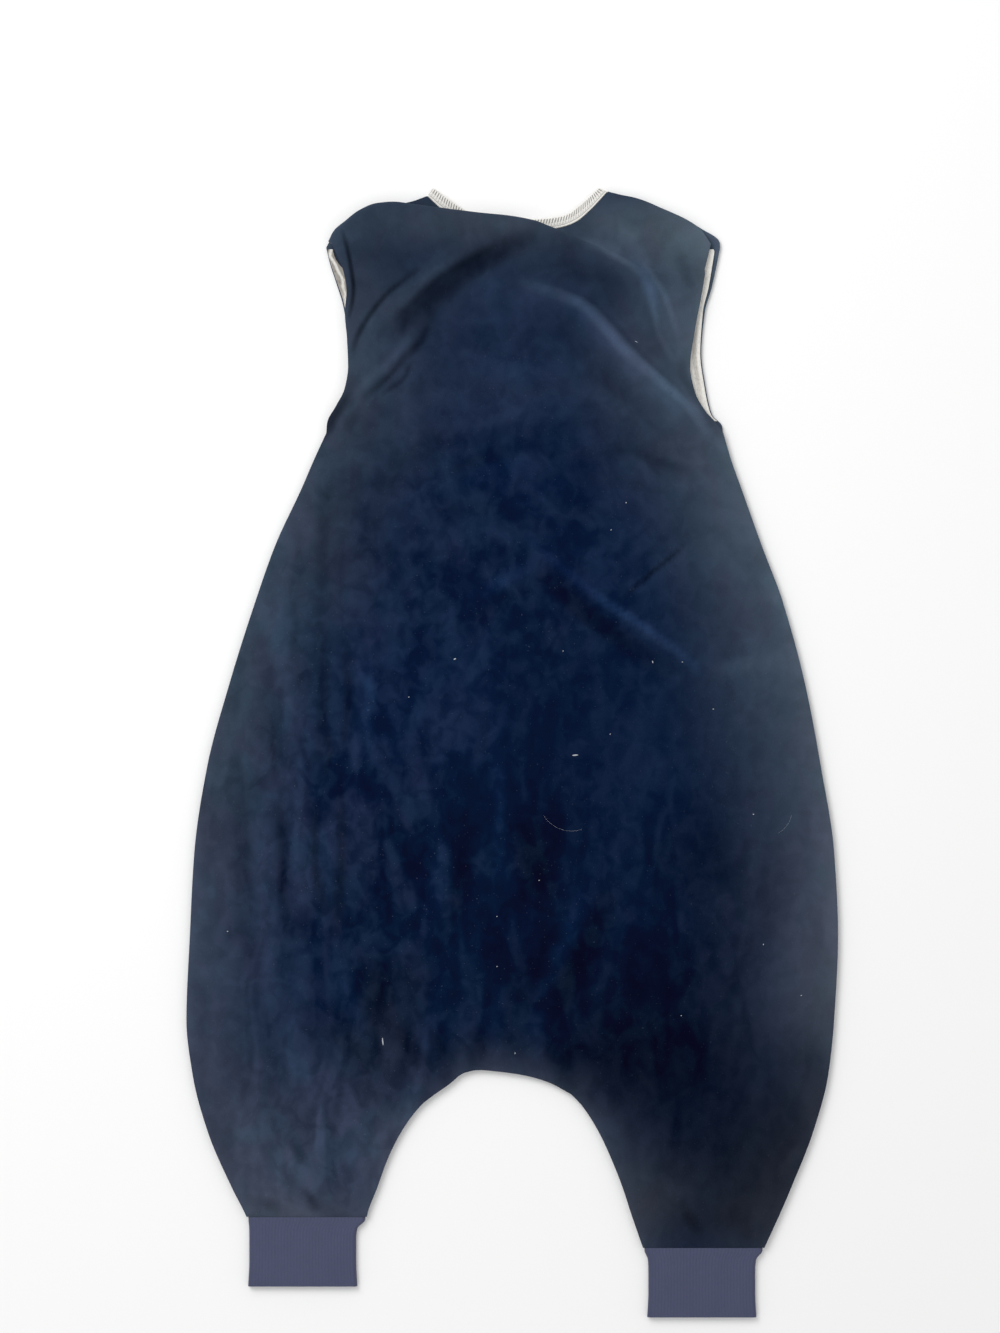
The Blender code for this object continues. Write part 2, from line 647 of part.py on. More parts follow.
def lining_point(side, i, j):
    """Point of the lining that shows inside an armhole, laid on the front panel."""
    armhole = by_length(FRONT_RIGHT_ARMHOLE if side > 0 else FRONT_LEFT_ARMHOLE)
    x, y = table_value(armhole, mix(*LINING_SPAN, j / LINING_ROWS))
    low, high = LINING_INSET[side > 0]
    inset = mix(low, high, ease((y - LINING_TURN_Y) / LINING_TURN_REACH))
    width = mix(LINING_WIDTH, LINING_TIP_WIDTH, ease((y - LINING_TAPER_Y) / LINING_TAPER_REACH))
    return x - side * (inset + width * i / LINING_COLUMNS), y, FRONT_WALL + SEAM_GAP, LINING_WALL


def plain_material(name, finish):
    """A Principled material of one colour."""
    material = bpy.data.materials.new(name)
    material.use_nodes = True
    shader = material.node_tree.nodes["Principled BSDF"]
    shader.inputs["Base Color"].default_value = (*finish.color, 1.0)
    shader.inputs["Roughness"].default_value = finish.roughness
    shader.inputs["Metallic"].default_value = finish.metallic
    material.diffuse_color = (*finish.color, 1.0)
    return material


def add_object(name, mesh, finish, collection):
    """Put a mesh into the collection as a named object, shaded smooth but for its edges."""
    mesh.materials.append(plain_material(name, finish))
    mesh.shade_smooth()
    mesh.set_sharp_from_angle(angle=math.radians(SHARP_ANGLE))
    obj = bpy.data.objects.new(name, mesh)
    collection.objects.link(obj)
    return obj


def cloth(name, columns, rows, place, offset, finish, collection, closed=False):
    """A wall of cloth: a grid whose points `place` sets, with a thickness of its own at each."""
    bm = bmesh.new()
    bmesh.ops.create_grid(bm, x_segments=columns, y_segments=rows, size=0.5)
    weights = bm.verts.layers.deform.verify()
    outside = []
    for vert in bm.verts:
        spot = place(round((vert.co.x + 0.5) * columns), round((vert.co.y + 0.5) * rows))
        if spot is None:
            outside.append(vert)
            continue
        vert.co = (Vector(spot[:3]) - MIDDLE) * MM
        vert[weights][0] = spot[3] / BACK_WALL
    bmesh.ops.delete(bm, geom=outside, context="VERTS")
    bm.normal_update()
    if closed:
        bmesh.ops.remove_doubles(bm, verts=bm.verts, dist=MERGE_DISTANCE * MM)
        bmesh.ops.recalc_face_normals(bm, faces=bm.faces)
    elif sum(face.calc_area() * face.normal.z for face in bm.faces) < 0:
        bmesh.ops.reverse_faces(bm, faces=bm.faces)
    mesh = bpy.data.meshes.new(name)
    bm.to_mesh(mesh)
    bm.free()
    obj = add_object(name, mesh, finish, collection)
    obj.vertex_groups.new(name="wall")
    solidify = obj.modifiers.new("Wall", "SOLIDIFY")
    solidify.thickness = BACK_WALL * MM
    solidify.offset = offset
    solidify.vertex_group = "wall"
    return obj


def binding_back(collection):
    """Rib band round the back of the neck, between the seam and its free edge."""
    free = by_length(BINDING_FREE_EDGE)
    columns = NECK_RIGHT - NECK_LEFT

    def place(i, j):
        share = i / columns
        station = NECK_LEFT + i
        seam_x, seam_y = seam_point(station)
        free_x, free_y = table_value(free, share)
        level = SlumpFold(station).seam
        length = math.hypot(free_x - seam_x, free_y - seam_y)
        across = mix(SEAM_GAP / length, 1.0, j / BINDING_ROWS)
        x, y = mix([seam_x, seam_y], [free_x, free_y], across)
        rounded = BINDING_WALL if 0 < j < BINDING_ROWS else BINDING_WALL * BINDING_EDGE
        return x, y, level, rounded

    return cloth("neck_binding_back", columns, BINDING_ROWS, place, 0.0, NECK_RIB, collection)


def binding_front(side, collection):
    """Rib band round one side of the front of the neck."""
    columns = FRONT_COLUMNS // 2

    def place(i, j):
        x0, y0 = front_neck(side, i / columns, 0.0)
        x1, y1 = front_neck(side, i / columns, 1.0)
        across = mix(SEAM_GAP / math.hypot(x1 - x0, y1 - y0), 1.0, j / BINDING_ROWS)
        x, y = mix([x0, y0], [x1, y1], across)
        rounded = BINDING_WALL if 0 < j < BINDING_ROWS else BINDING_WALL * BINDING_EDGE
        return x, y, 0.0, rounded

    name = "neck_binding_front_right" if side > 0 else "neck_binding_front_left"
    return cloth(name, columns, BINDING_ROWS, place, 1.0, NECK_RIB, collection)


def stadium(share, width, height):
    """Point round a flattened tube, from the bottom of its right end and up."""
    flat, round_off = (width - height) / 2, height / 2
    sixth = share * 6
    if sixth <= 1:
        angle = math.pi * (sixth - 0.5)
        return flat + round_off * math.cos(angle), round_off * (1 + math.sin(angle))
    if sixth < 3:
        return flat * (2 - sixth), height
    if sixth <= 4:
        angle = math.pi * (sixth - 2.5)
        return -flat + round_off * math.cos(angle), round_off * (1 + math.sin(angle))
    return flat * (sixth - 5), 0.0


def cuff(side, collection):
    """Rib cuff: a flattened tube below the leg's hem, open at both ends."""
    right = side > 0
    hem = RIGHT_HEM_Y if right else LEFT_HEM_Y
    outer, inner = side_x(hem)[right], table_value(INSEAMS, hem)[right]
    middle = RIGHT_CUFF_X if right else LEFT_CUFF_X
    hem_middle, hem_width = (outer + inner) / 2, abs(outer - inner) - CUFF_INSET

    def place(i, j):
        ring = CUFF_RINGS[j]
        width = mix(hem_width, CUFF_WIDTH, ring.own) + ring.extra
        x, z = stadium(i / CUFF_POINTS, width, CUFF_HEIGHT)
        return mix(hem_middle, middle, ring.own) + x, hem - SEAM_GAP - ring.down, z, CUFF_WALL

    return cloth("cuff_right" if right else "cuff_left", CUFF_POINTS, len(CUFF_RINGS) - 1, place,
                 -1.0, CUFF_RIB, collection, closed=True)


def box(name, size, spot, finish, collection, parent, bevel):
    """A block with softened edges, placed from its parent's origin."""
    bpy.ops.mesh.primitive_cube_add(size=1.0)
    obj = bpy.context.active_object
    obj.name = obj.data.name = name
    obj.data.transform(Matrix.Diagonal((*[length * MM for length in size], 1.0)))
    obj.data.materials.append(plain_material(name, finish))
    for old in list(obj.users_collection):
        old.objects.unlink(obj)
    collection.objects.link(obj)
    obj.parent = parent
    obj.location = Vector(spot) * MM
    if bevel:
        soft = obj.modifiers.new("Soft edges", "BEVEL")
        soft.width = bevel * MM
        soft.segments = 2
    return obj


def zip_parts(collection, cutters):
    """Tapes, closed chain, slider and pull, along the front's centre line."""
    line = bpy.data.objects.new("zip_line", None)
    collection.objects.link(line)
    top_y = NECK_POINTS[0][1] - FRONT_NECK_DEPTH
    line.location = (Vector((centre_x(top_y), top_y, 0.0)) - MIDDLE) * MM
    line.rotation_euler.z = -math.atan(CENTRE_SLOPE)
    end_y = ZIP_END_Y - top_y

    tape_top, tape_end = -TAPE_TOP, end_y + TAPE_END
    for side, name in ((-1, "zip_tape_left"), (1, "zip_tape_right")):
        middle = side * (CHAIN_WIDTH / 2 + SEAM_GAP + TAPE_WIDTH / 2)
        box(name, (TAPE_WIDTH, tape_top - tape_end, TAPE_THICK),
            (middle, (tape_top + tape_end) / 2, TAPE_LEVEL), ZIP_WEAVE, collection, line, 0.0)

    slider_y = -SLIDER_LENGTH / 2 - SLIDER_TOP
    post_y = slider_y + SLIDER_LENGTH / 2 - SLIDER_POST[1] / 2 - POST_TOP
    chain_top = post_y - SLIDER_POST[1] / 2 - SEAM_GAP
    chain_end = end_y + CHAIN_END
    box("zip_chain", (CHAIN_WIDTH, chain_top - chain_end, CHAIN_THICK),
        (0.0, (chain_top + chain_end) / 2, TAPE_LEVEL), ZIP_WEAVE, collection, line, CHAIN_SOFT)

    plate_rise = CHAIN_THICK / 2 + SEAM_GAP + SLIDER_PLATE / 2
    low_plate = TAPE_LEVEL - plate_rise
    plate = (SLIDER_WIDTH, SLIDER_LENGTH, SLIDER_PLATE)
    slider = box("zip_slider", plate, (0.0, slider_y, low_plate), ZIP_METAL, collection, line, 0.0)
    hinge_y = slider_y + HINGE_RISE
    ear_thick, ear_long, ear_drop = SLIDER_EAR
    lumps = [("slider_back", plate, (0.0, slider_y, TAPE_LEVEL + plate_rise)),
             ("slider_post", (*SLIDER_POST, 2 * plate_rise), (0.0, post_y, TAPE_LEVEL))]
    for side in (-1, 1):
        lumps.append((f"slider_ear_{side}", (ear_thick, ear_long, ear_drop + SLIDER_PLATE),
                      (side * (EAR_INSIDE + ear_thick / 2), hinge_y, low_plate - ear_drop / 2)))
    for name, size, spot in lumps:
        lump = box(name, size, spot, ZIP_METAL, cutters, line, 0.0)
        lump.hide_render = True
        lump.display_type = "WIRE"
        union = slider.modifiers.new(name, "BOOLEAN")
        union.operation = "UNION"
        union.object = lump

    pull = box("zip_pull", (PULL_WIDTH, PULL_LENGTH, PULL_THICK), (0.0, hinge_y, PULL_LEVEL),
               ZIP_METAL, collection, line, PULL_SOFT)
    pull.data.transform(Matrix.Translation((0.0, -(PULL_LENGTH - PULL_THICK) / 2 * MM, 0.0)))


def main():
    """Build every piece of the sack."""
    for obj in list(bpy.data.objects):
        bpy.data.objects.remove(obj, do_unlink=True)
    sack = bpy.data.collections.new("Sleep sack")
    cutters = bpy.data.collections.new("Cutters")
    for collection in (sack, cutters):
        bpy.context.scene.collection.children.link(collection)

    back_rows = LEG_ROWS + BODY_ROWS + YOKE_ROWS + 2 * ARC_STEPS + RUN_STEPS + HEM_STEPS
    cloth("back_panel", COLUMNS, back_rows, back_point, 0.0, VELOUR, sack)
    binding_back(sack)
    front_rows = LEG_ROWS + FRONT_BODY_ROWS + FRONT_YOKE_ROWS
    for side, word in ((-1, "left"), (1, "right")):
        cloth(f"front_panel_{word}", FRONT_COLUMNS, front_rows,
              lambda i, j, side=side: front_point(side, i, j), 1.0, VELOUR, sack)
        cloth(f"front_lining_{word}", LINING_COLUMNS, LINING_ROWS,
              lambda i, j, side=side: lining_point(side, i, j), 1.0, LINING_JERSEY, sack)
        binding_front(side, sack)
        cuff(side, sack)
    zip_parts(sack, cutters)


main()
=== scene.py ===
"""Looks of a navy velour sleep sack that lies face down: cloth, lining, rib, zip, lint and studio.

Plans and sizes are in millimetres from the sack's drawing; the meshes are in metres, on the solids.
"""
import json
import logging
import math
from dataclasses import dataclass, field
from enum import Enum
from typing import NamedTuple

import bmesh
import bpy
import numpy as np
from mathutils import Matrix, Vector
from mathutils.bvhtree import BVHTree

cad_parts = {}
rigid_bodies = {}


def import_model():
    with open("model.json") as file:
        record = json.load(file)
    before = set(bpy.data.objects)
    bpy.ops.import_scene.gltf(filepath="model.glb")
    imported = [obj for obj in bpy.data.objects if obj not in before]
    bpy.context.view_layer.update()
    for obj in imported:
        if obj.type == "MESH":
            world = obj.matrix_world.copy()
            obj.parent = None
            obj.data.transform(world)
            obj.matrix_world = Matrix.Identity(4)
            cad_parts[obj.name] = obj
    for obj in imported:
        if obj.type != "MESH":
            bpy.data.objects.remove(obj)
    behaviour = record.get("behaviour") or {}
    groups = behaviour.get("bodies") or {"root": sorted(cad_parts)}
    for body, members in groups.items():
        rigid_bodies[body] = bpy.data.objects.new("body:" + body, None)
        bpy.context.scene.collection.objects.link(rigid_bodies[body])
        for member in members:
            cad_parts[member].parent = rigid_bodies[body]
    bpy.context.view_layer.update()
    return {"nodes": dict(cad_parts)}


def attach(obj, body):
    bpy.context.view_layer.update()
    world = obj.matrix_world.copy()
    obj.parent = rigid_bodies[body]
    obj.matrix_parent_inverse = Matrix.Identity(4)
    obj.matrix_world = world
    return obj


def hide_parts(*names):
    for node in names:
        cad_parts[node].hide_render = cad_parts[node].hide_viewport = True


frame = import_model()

LOG = logging.getLogger("sleep_sack")
MM = 0.001
BODY = "garment"
# Points nearer than this are merged, in millimetres, and edges sharper than this are rounded
WELD = 0.01
SHARP = math.radians(60)

Array = np.ndarray
Values = float | Array
Spot = tuple[float, float]
Size = tuple[float, float, float]
Rows = tuple[tuple[float, ...], ...]
Colour = tuple[float, float, float]
Piece = bpy.types.Object
Material = bpy.types.Material


class Side(Enum):
    """The two sides of the sack, by the column that each has in a table."""

    LEFT = 0
    RIGHT = 1

    @property
    def sign(self) -> int:
        """Direction of the side along X."""
        return 1 if self is Side.RIGHT else -1

    @property
    def word(self) -> str:
        """The side's word in a node's name."""
        return self.name.lower()


def ease(t: Values) -> Values:
    """Smooth step from 0 to 1."""
    t = np.clip(t, 0, 1)
    return t * t * (3 - 2 * t)


def mix(a: Values, b: Values, t: Values) -> Values:
    """Blend of two values."""
    return a + (b - a) * t


def patch(x: Values, y: Values, at_x: float, at_y: float, half_x: float, half_y: float) -> Values:
    """Strength of a round patch at plan points, by its middle and half sizes."""
    return np.exp(-((x - at_x) / half_x) ** 2 - ((y - at_y) / half_y) ** 2)


@dataclass(frozen=True)
class Table:
    """Rows of a knot and its values, joined by a smooth curve that never overshoots them."""

    rows: Rows

    def at(self, knots: Values) -> Array:
        """Values at some knots.

        Args:
            knots: where to read the table, in any shape.

        Returns:
            An array of that shape with one more axis, for the table's fields.
        """
        rows = np.asarray(self.rows, float)
        run = np.diff(rows[:, 0])
        secant = np.diff(rows[:, 1:], axis=0) / run[:, None]
        slope = np.vstack([secant[:1], np.zeros_like(secant[1:]), secant[-1:]])
        before, after = secant[:-1], secant[1:]
        same = before * after > 0
        slope[1:-1] = np.where(same, 2 * before * after / np.where(same, before + after, 1), 0)
        knots = np.clip(np.asarray(knots, float), rows[0, 0], rows[-1, 0])
        low = np.clip(np.searchsorted(rows[:, 0], knots, side="right") - 1, 0, len(run) - 1)
        span = run[low][..., None]
        t = (knots - rows[low, 0])[..., None] / span
        return (rows[low, 1:] * (1 + 2 * t) * (1 - t) ** 2 + slope[low] * span * t * (1 - t) ** 2
                + rows[low + 1, 1:] * t * t * (3 - 2 * t) - slope[low + 1] * span * t * t * (1 - t))


def walked(points: Array) -> Array:
    """Length walked from the first of some points to each."""
    return np.concatenate([[0], np.cumsum(np.hypot(*np.diff(points, axis=0).T))])


def by_length(points: tuple[Spot, ...]) -> Table:
    """Plan points as a table whose knot is the share of the length walked."""
    lengths = walked(np.array(points))
    return Table(tuple((length / lengths[-1], *point) for length, point in zip(lengths, points)))


@dataclass(frozen=True)
class SackPlan:
    """Plan of the sack on its surface, as the solids have it."""

    middle: Spot = (-0.2, 1.2)
    underarm: float = 276
    split: float = -292.4
    hems: Spot = (-398.2, -424.8)
    stations: int = 28
    leg_stations: int = 11
    neck_stations: tuple[int, int] = (7, 20)
    centre_top: Spot = (3, 423)
    centre_slope: float = 13.75 / 695
    zip_end: float = -212
    slot_half: float = 4.5
    seam_gap: float = 0.3
    neck_depth: float = 66
    binding_width: float = 9.5
    arch_fade: int = 12
    neck_points: tuple[Spot, Spot] = ((-73.5, 479.9), (82.1, 483.8))
    binding_points: tuple[Spot, Spot] = ((-67.9, 487), (74.3, 487.2))
    sides: Table = Table((
        (-424.8, -218, 216.8), (-397.3, -229.2, 229.2), (-373.2, -241.2, 239.5), (-325.1, -261.9, 258.4),
        (-276.9, -274.8, 271.3), (-228.8, -280.3, 276.5), (-156.5, -277.4, 279.9), (-84.3, -273.5, 276.5),
        (-12, -262.7, 265.3), (60.2, -243.4, 251.5), (132.4, -220.6, 231.8), (180.6, -203.4, 213.7),
        (228.8, -181, 196.5), (252.8, -170.7, 187.9), (276, -160, 181.2),
    ))
    inseams: Table = Table((
        (-424.8, -128, 112.2), (-397.3, -125.1, 102.8), (-373.2, -116.5, 95), (-349.2, -107.9, 85.6),
        (-325.1, -95.9, 74.4), (-301, -77.8, 58.9), (-292.4, -66.7, 50.3),
    ))
    crotch: Table = Table((
        (-66.7, -292.4), (-55.5, -284.7), (-41.7, -274.2), (-28.8, -271.8), (-11.6, -273.2), (9.9, -276.3),
        (30.5, -282.1), (50.3, -292.4),
    ))
    back_armholes: tuple[Table, Table] = (
        by_length((
            (-160, 276), (-159.3, 284.7), (-151.8, 298.4), (-144.4, 312.2), (-141.3, 330), (-142.3, 352.6),
            (-144.2, 372), (-142.6, 390), (-144.8, 404.2), (-149.8, 417.1), (-155.4, 429),
        )),
        by_length((
            (181.2, 276), (176.4, 283.2), (166.4, 294.1), (157, 311), (152.6, 334), (156.1, 362.9),
            (162.1, 395.6), (165.3, 414.5),
        )),
    )
    front_armholes: tuple[Table, Table] = (
        by_length((
            (-160, 276), (-158.6, 284.7), (-150.8, 298.4), (-143.4, 312.2), (-140.3, 330), (-141.3, 352.6),
            (-143.4, 372), (-146.3, 388), (-151.6, 405), (-157.4, 423.1), (-160.4, 436),
        )),
        by_length((
            (181.2, 276), (180.4, 282.5), (171.9, 292), (166, 317.3), (162.6, 345), (165.6, 380.1),
            (171.6, 401.6), (175.9, 421.4), (178.8, 436),
        )),
    )
    front_shoulders: tuple[Table, Table] = (
        by_length((
            (-160.4, 436), (-157, 442.2), (-150.5, 448.6), (-142, 455.6), (-130.5, 463.6), (-117, 469.6),
            (-102, 472.6), (-87.8, 475.2), (-73.5, 479.9),
        )),
        by_length((
            (178.8, 436), (178.3, 441.2), (174.2, 445.5), (163.8, 451.5), (148.4, 461), (126.9, 470.4),
            (108.8, 478), (92, 481.6), (82.1, 483.8),
        )),
    )
    seam_left: Table = Table((
        (0, -157.4, 439.4), (1, -151.6, 447.4), (2, -142.6, 454.8), (3, -130.5, 463.4), (4, -117, 469.4),
        (5, -102, 472.4), (6, -87.8, 475), (7, -73.5, 479.9),
    ))
    seam_neck: Table = Table((
        (7, -73.5, 479.9), (8, -62, 469.2), (9, -50.5, 460.8), (11, -27.5, 452.4), (13, -4.5, 449.8),
        (15, 19.5, 450.2), (16, 31.3, 451), (17, 43.4, 453.2), (18, 54.8, 457.6), (19, 67, 467.6),
        (20, 82.1, 483.8),
    ))
    seam_right: Table = Table((
        (20, 82.1, 483.8), (21, 93.5, 481), (22, 104.5, 478.8), (23, 115.5, 475.2), (24, 126.9, 470.2),
        (25, 138.5, 465.2), (26, 150, 459.6), (27, 161.5, 451.6), (28, 170.7, 438.6),
    ))
    band_edge: Table = by_length((
        (-67.9, 487), (-50.3, 474.4), (-33, 464.6), (-4, 459.4), (15.6, 460.3), (34, 461.6), (46.9, 464.4),
        (58, 472.6), (74.3, 487.2),
    ))

    def place(self, x: float, y: float, level: float = 0) -> Vector:
        """Place among the solids, in metres, of a plan point at a level."""
        return Vector((x - self.middle[0], y - self.middle[1], level)) * MM

    def side_x(self, y: Values, side: Side) -> Values:
        """Outline of one side at heights along the sack."""
        return self.sides.at(y)[..., side.value]

    def inseam_x(self, y: Values, side: Side) -> Values:
        """Inner edge of one leg at heights along the sack."""
        return self.inseams.at(y)[..., side.value]

    def centre_x(self, y: Values) -> Values:
        """Centre line of the front opening."""
        return self.centre_top[0] + (y - self.centre_top[1]) * self.centre_slope

    def crotch_y(self, x: Values) -> Values:
        """Edge between the legs."""
        return self.crotch.at(x)[..., 0]

    def arch_distance(self, x: Values, y: Values) -> Values:
        """Distance from the edge between the legs."""
        aside = x - np.clip(x, self.crotch.rows[0][0], self.crotch.rows[-1][0])
        return np.hypot(aside, np.maximum(y - self.crotch_y(x), 0))

    def parting(self, side: Side) -> Spot:
        """Point where the leg's inner edge meets the crotch."""
        return self.crotch.rows[0 if side is Side.LEFT else -1]

    def seam(self, station: Array) -> Array:
        """Upper edge of the back: shoulder, neck and shoulder.

        Args:
            station: from 0 at the left armhole to 28 at the right one.

        Returns:
            Plan points.
        """
        first, last = self.neck_stations
        points = np.where((station <= first)[..., None], self.seam_left.at(station),
                          self.seam_neck.at(station))
        return np.where((station > last)[..., None], self.seam_right.at(station), points)

    def slot(self, y: Values) -> Values:
        """Half the width between the front panels."""
        return np.where(y > self.zip_end, self.slot_half, self.seam_gap / 2)

    @property
    def zip_top(self) -> float:
        """Place along the sack of the zip's top and the neck's lowest point."""
        return self.neck_points[0][1] - self.neck_depth

    def neck_bottom(self, side: Side) -> Array:
        """Lower end of the front neck seam, beside the zip."""
        return np.array([self.centre_x(self.zip_top) + side.sign * self.slot_half, self.zip_top])

    def front_neck(self, side: Side, share: Values, inward: float) -> Array:
        """Quarter ellipse of the front neck.

        Args:
            side: which half of the neck.
            share: from 0 at the zip to 1 at the shoulder.
            inward: 0 on the seam and 1 on the band's free edge.

        Returns:
            Plan points.
        """
        end_x, end_y = self.neck_bottom(side)
        end_y += self.binding_width * inward
        start = mix(np.array(self.neck_points[side.value]), np.array(self.binding_points[side.value]), inward)
        angle = math.pi / 2 * np.asarray(share, float)
        return np.stack([mix(end_x, start[0], np.sin(angle)), mix(end_y, start[1], 1 - np.cos(angle))], -1)


@dataclass(frozen=True)
class ClothLevels:
    """Walls of the cloth and the levels that it lies at, as the solids have them."""

    front: float = 3.4
    back: float = 3.6
    fold: float = 3.2
    seam: float = 2.4
    gap: float = 0.3
    seam_reach: float = 40
    seam_level: float = 3.9
    armhole_level: float = 6.3
    back_level: float = 8.8
    dome_reach: float = 70
    dome_power: float = 2.5
    armhole_reach: float = 12
    hem_reach: float = 45
    crease_reach: float = 14
    lowest: float = 5.9
    lowest_over_zip: float = 8.5
    zip_strip: float = 22

    def wall(self, edge: Values, full: Values) -> Values:
        """Thickness of the wall, thinner towards a seam."""
        return mix(self.seam, full, ease(edge / self.seam_reach))


@dataclass(frozen=True)
class SlumpFold:
    """Sections of the fold in which the back slumps over its neck and left shoulder."""

    start: Array
    outward: Array
    end: Array
    turn: Array
    back: Array
    low: Array
    seam: Array
    radius: Array
    rise: Array

    ARC = 5 / 12
    TIGHT_RADIUS = 2
    WANTED_RISE = 8
    FULL_TURN = 120
    TURN_POWER = 1.2
    # Station, ridge x and y, turn in degrees, run back under itself, level of the cloth under it, seam
    SECTIONS = Table((
        (0, -158.5, 440, 125, 2, 6.9, 6.9), (1, -153.4, 449.3, 150, 3.6, 6.7, 6.6),
        (2, -143.8, 457.6, 168, 4.6, 6, 5.6), (3, -131.5, 467, 176, 6.4, 5.6, 4.6),
        (4, -117, 473, 180, 8.5, 5.5, 3.9), (5, -102, 474.3, 180, 10, 5.5, 3.9),
        (6, -87.5, 472.6, 180, 12, 5.4, 4), (7, -73.5, 470.8, 180, 14, 5.2, 4.1),
        (9, -50.5, 467.8, 180, 16.5, 4.8, 3.9), (11, -27, 465, 180, 17, 4.2, 3.3),
        (13, -3.5, 462.6, 178, 15, 4, 3.2), (15, 19.5, 457.9, 165, 9, 4.2, 3.4),
        (16, 31, 453.4, 136, 5, 4.6, 3.5), (17, 43.4, 448.9, 95, 3.2, 5.2, 3.6),
        (18, 56, 442.9, 66, 1.6, 5.8, 3.8), (20, 82.1, 431.5, 44, 1.2, 6.8, 3.9),
        (23, 113, 418, 24, 0.8, 7.4, 3.9), (25, 133, 413.6, 16, 0.8, 7.4, 3.9),
        (27, 154.5, 413.8, 14, 0.8, 6.9, 4.6), (28, 165.3, 414.5, 14, 0.8, 6.4, 5.7),
    ))

    @classmethod
    def at(cls, plan: SackPlan, levels: ClothLevels, stations: Array) -> "SlumpFold":
        """Sections at stations across the back.

        Args:
            plan: the sack's plan.
            levels: the cloth's walls and levels.
            stations: from 0 at the left armhole to 28 at the right one.

        Returns:
            The fold with one section for each station.
        """
        x, y, turn, back, low, seam = np.moveaxis(cls.SECTIONS.at(stations), -1, 0)
        run = cls.SECTIONS.at(stations + 0.5)[..., :2] - cls.SECTIONS.at(stations - 0.5)[..., :2]
        run /= np.linalg.norm(run, axis=-1, keepdims=True)
        outward = np.stack([-run[..., 1], run[..., 0]], -1)
        angle = np.radians(turn)
        wanted = cls.WANTED_RISE * np.minimum(turn / cls.FULL_TURN, 1) ** cls.TURN_POWER
        wanted = wanted - back * np.sin(angle)
        radius = np.maximum(cls.TIGHT_RADIUS, wanted / (2 * (1 - np.cos(angle))))
        rise = 2 * radius * (1 - np.cos(angle)) + back * np.sin(angle)
        lead = (radius + levels.fold / 2) * np.sin(np.minimum(angle, math.pi / 2))
        start = np.stack([x, y], -1) - outward * lead[..., None]
        return cls(start, outward, plan.seam(stations), angle, back, low, seam, radius, rise)

    def point(self, share: float) -> tuple[Array, Array]:
        """Middle of the wall along the fold: out and down, back under, and level again.

        Args:
            share: from 0 where the cloth turns over to 1 where it is level again.

        Returns:
            Plan points and levels, one for each station.
        """
        first = self.turn * min(share / self.ARC, 1)
        run = self.back * min(max((share - self.ARC) / (1 - 2 * self.ARC), 0), 1)
        last = self.turn * (1 - min(max((share - 1 + self.ARC) / self.ARC, 0), 1))
        out = self.radius * (np.sin(first) + np.sin(self.turn) - np.sin(last)) + run * np.cos(self.turn)
        drop = self.radius * (1 - np.cos(first) + np.cos(last) - np.cos(self.turn)) + run * np.sin(self.turn)
        return self.start + self.outward * out[..., None], self.low + self.rise - drop


class Crease(NamedTuple):
    """A soft ridge (rise above nought) or trough (below); its tone is painted highlight on a ridge or painted
    shade in a trough, and its haze painted sheen on the crest.
    """

    path: tuple[Spot, ...]
    rise: float
    width: float
    tone: float
    sheen_haze: float = 0


class Mark(NamedTuple):
    """A soft patch of tone: middle, half sizes, tone, and haze that adds to the painted sheen."""

    x: float
    y: float
    half_x: float
    half_y: float
    tone: float
    sheen_haze: float = 0


class Ripple(NamedTuple):
    """Broad unevenness: a product of two sine waves, in radians a millimetre."""

    rise: float
    x1: float
    y1: float
    shift1: float
    x2: float
    y2: float
    shift2: float


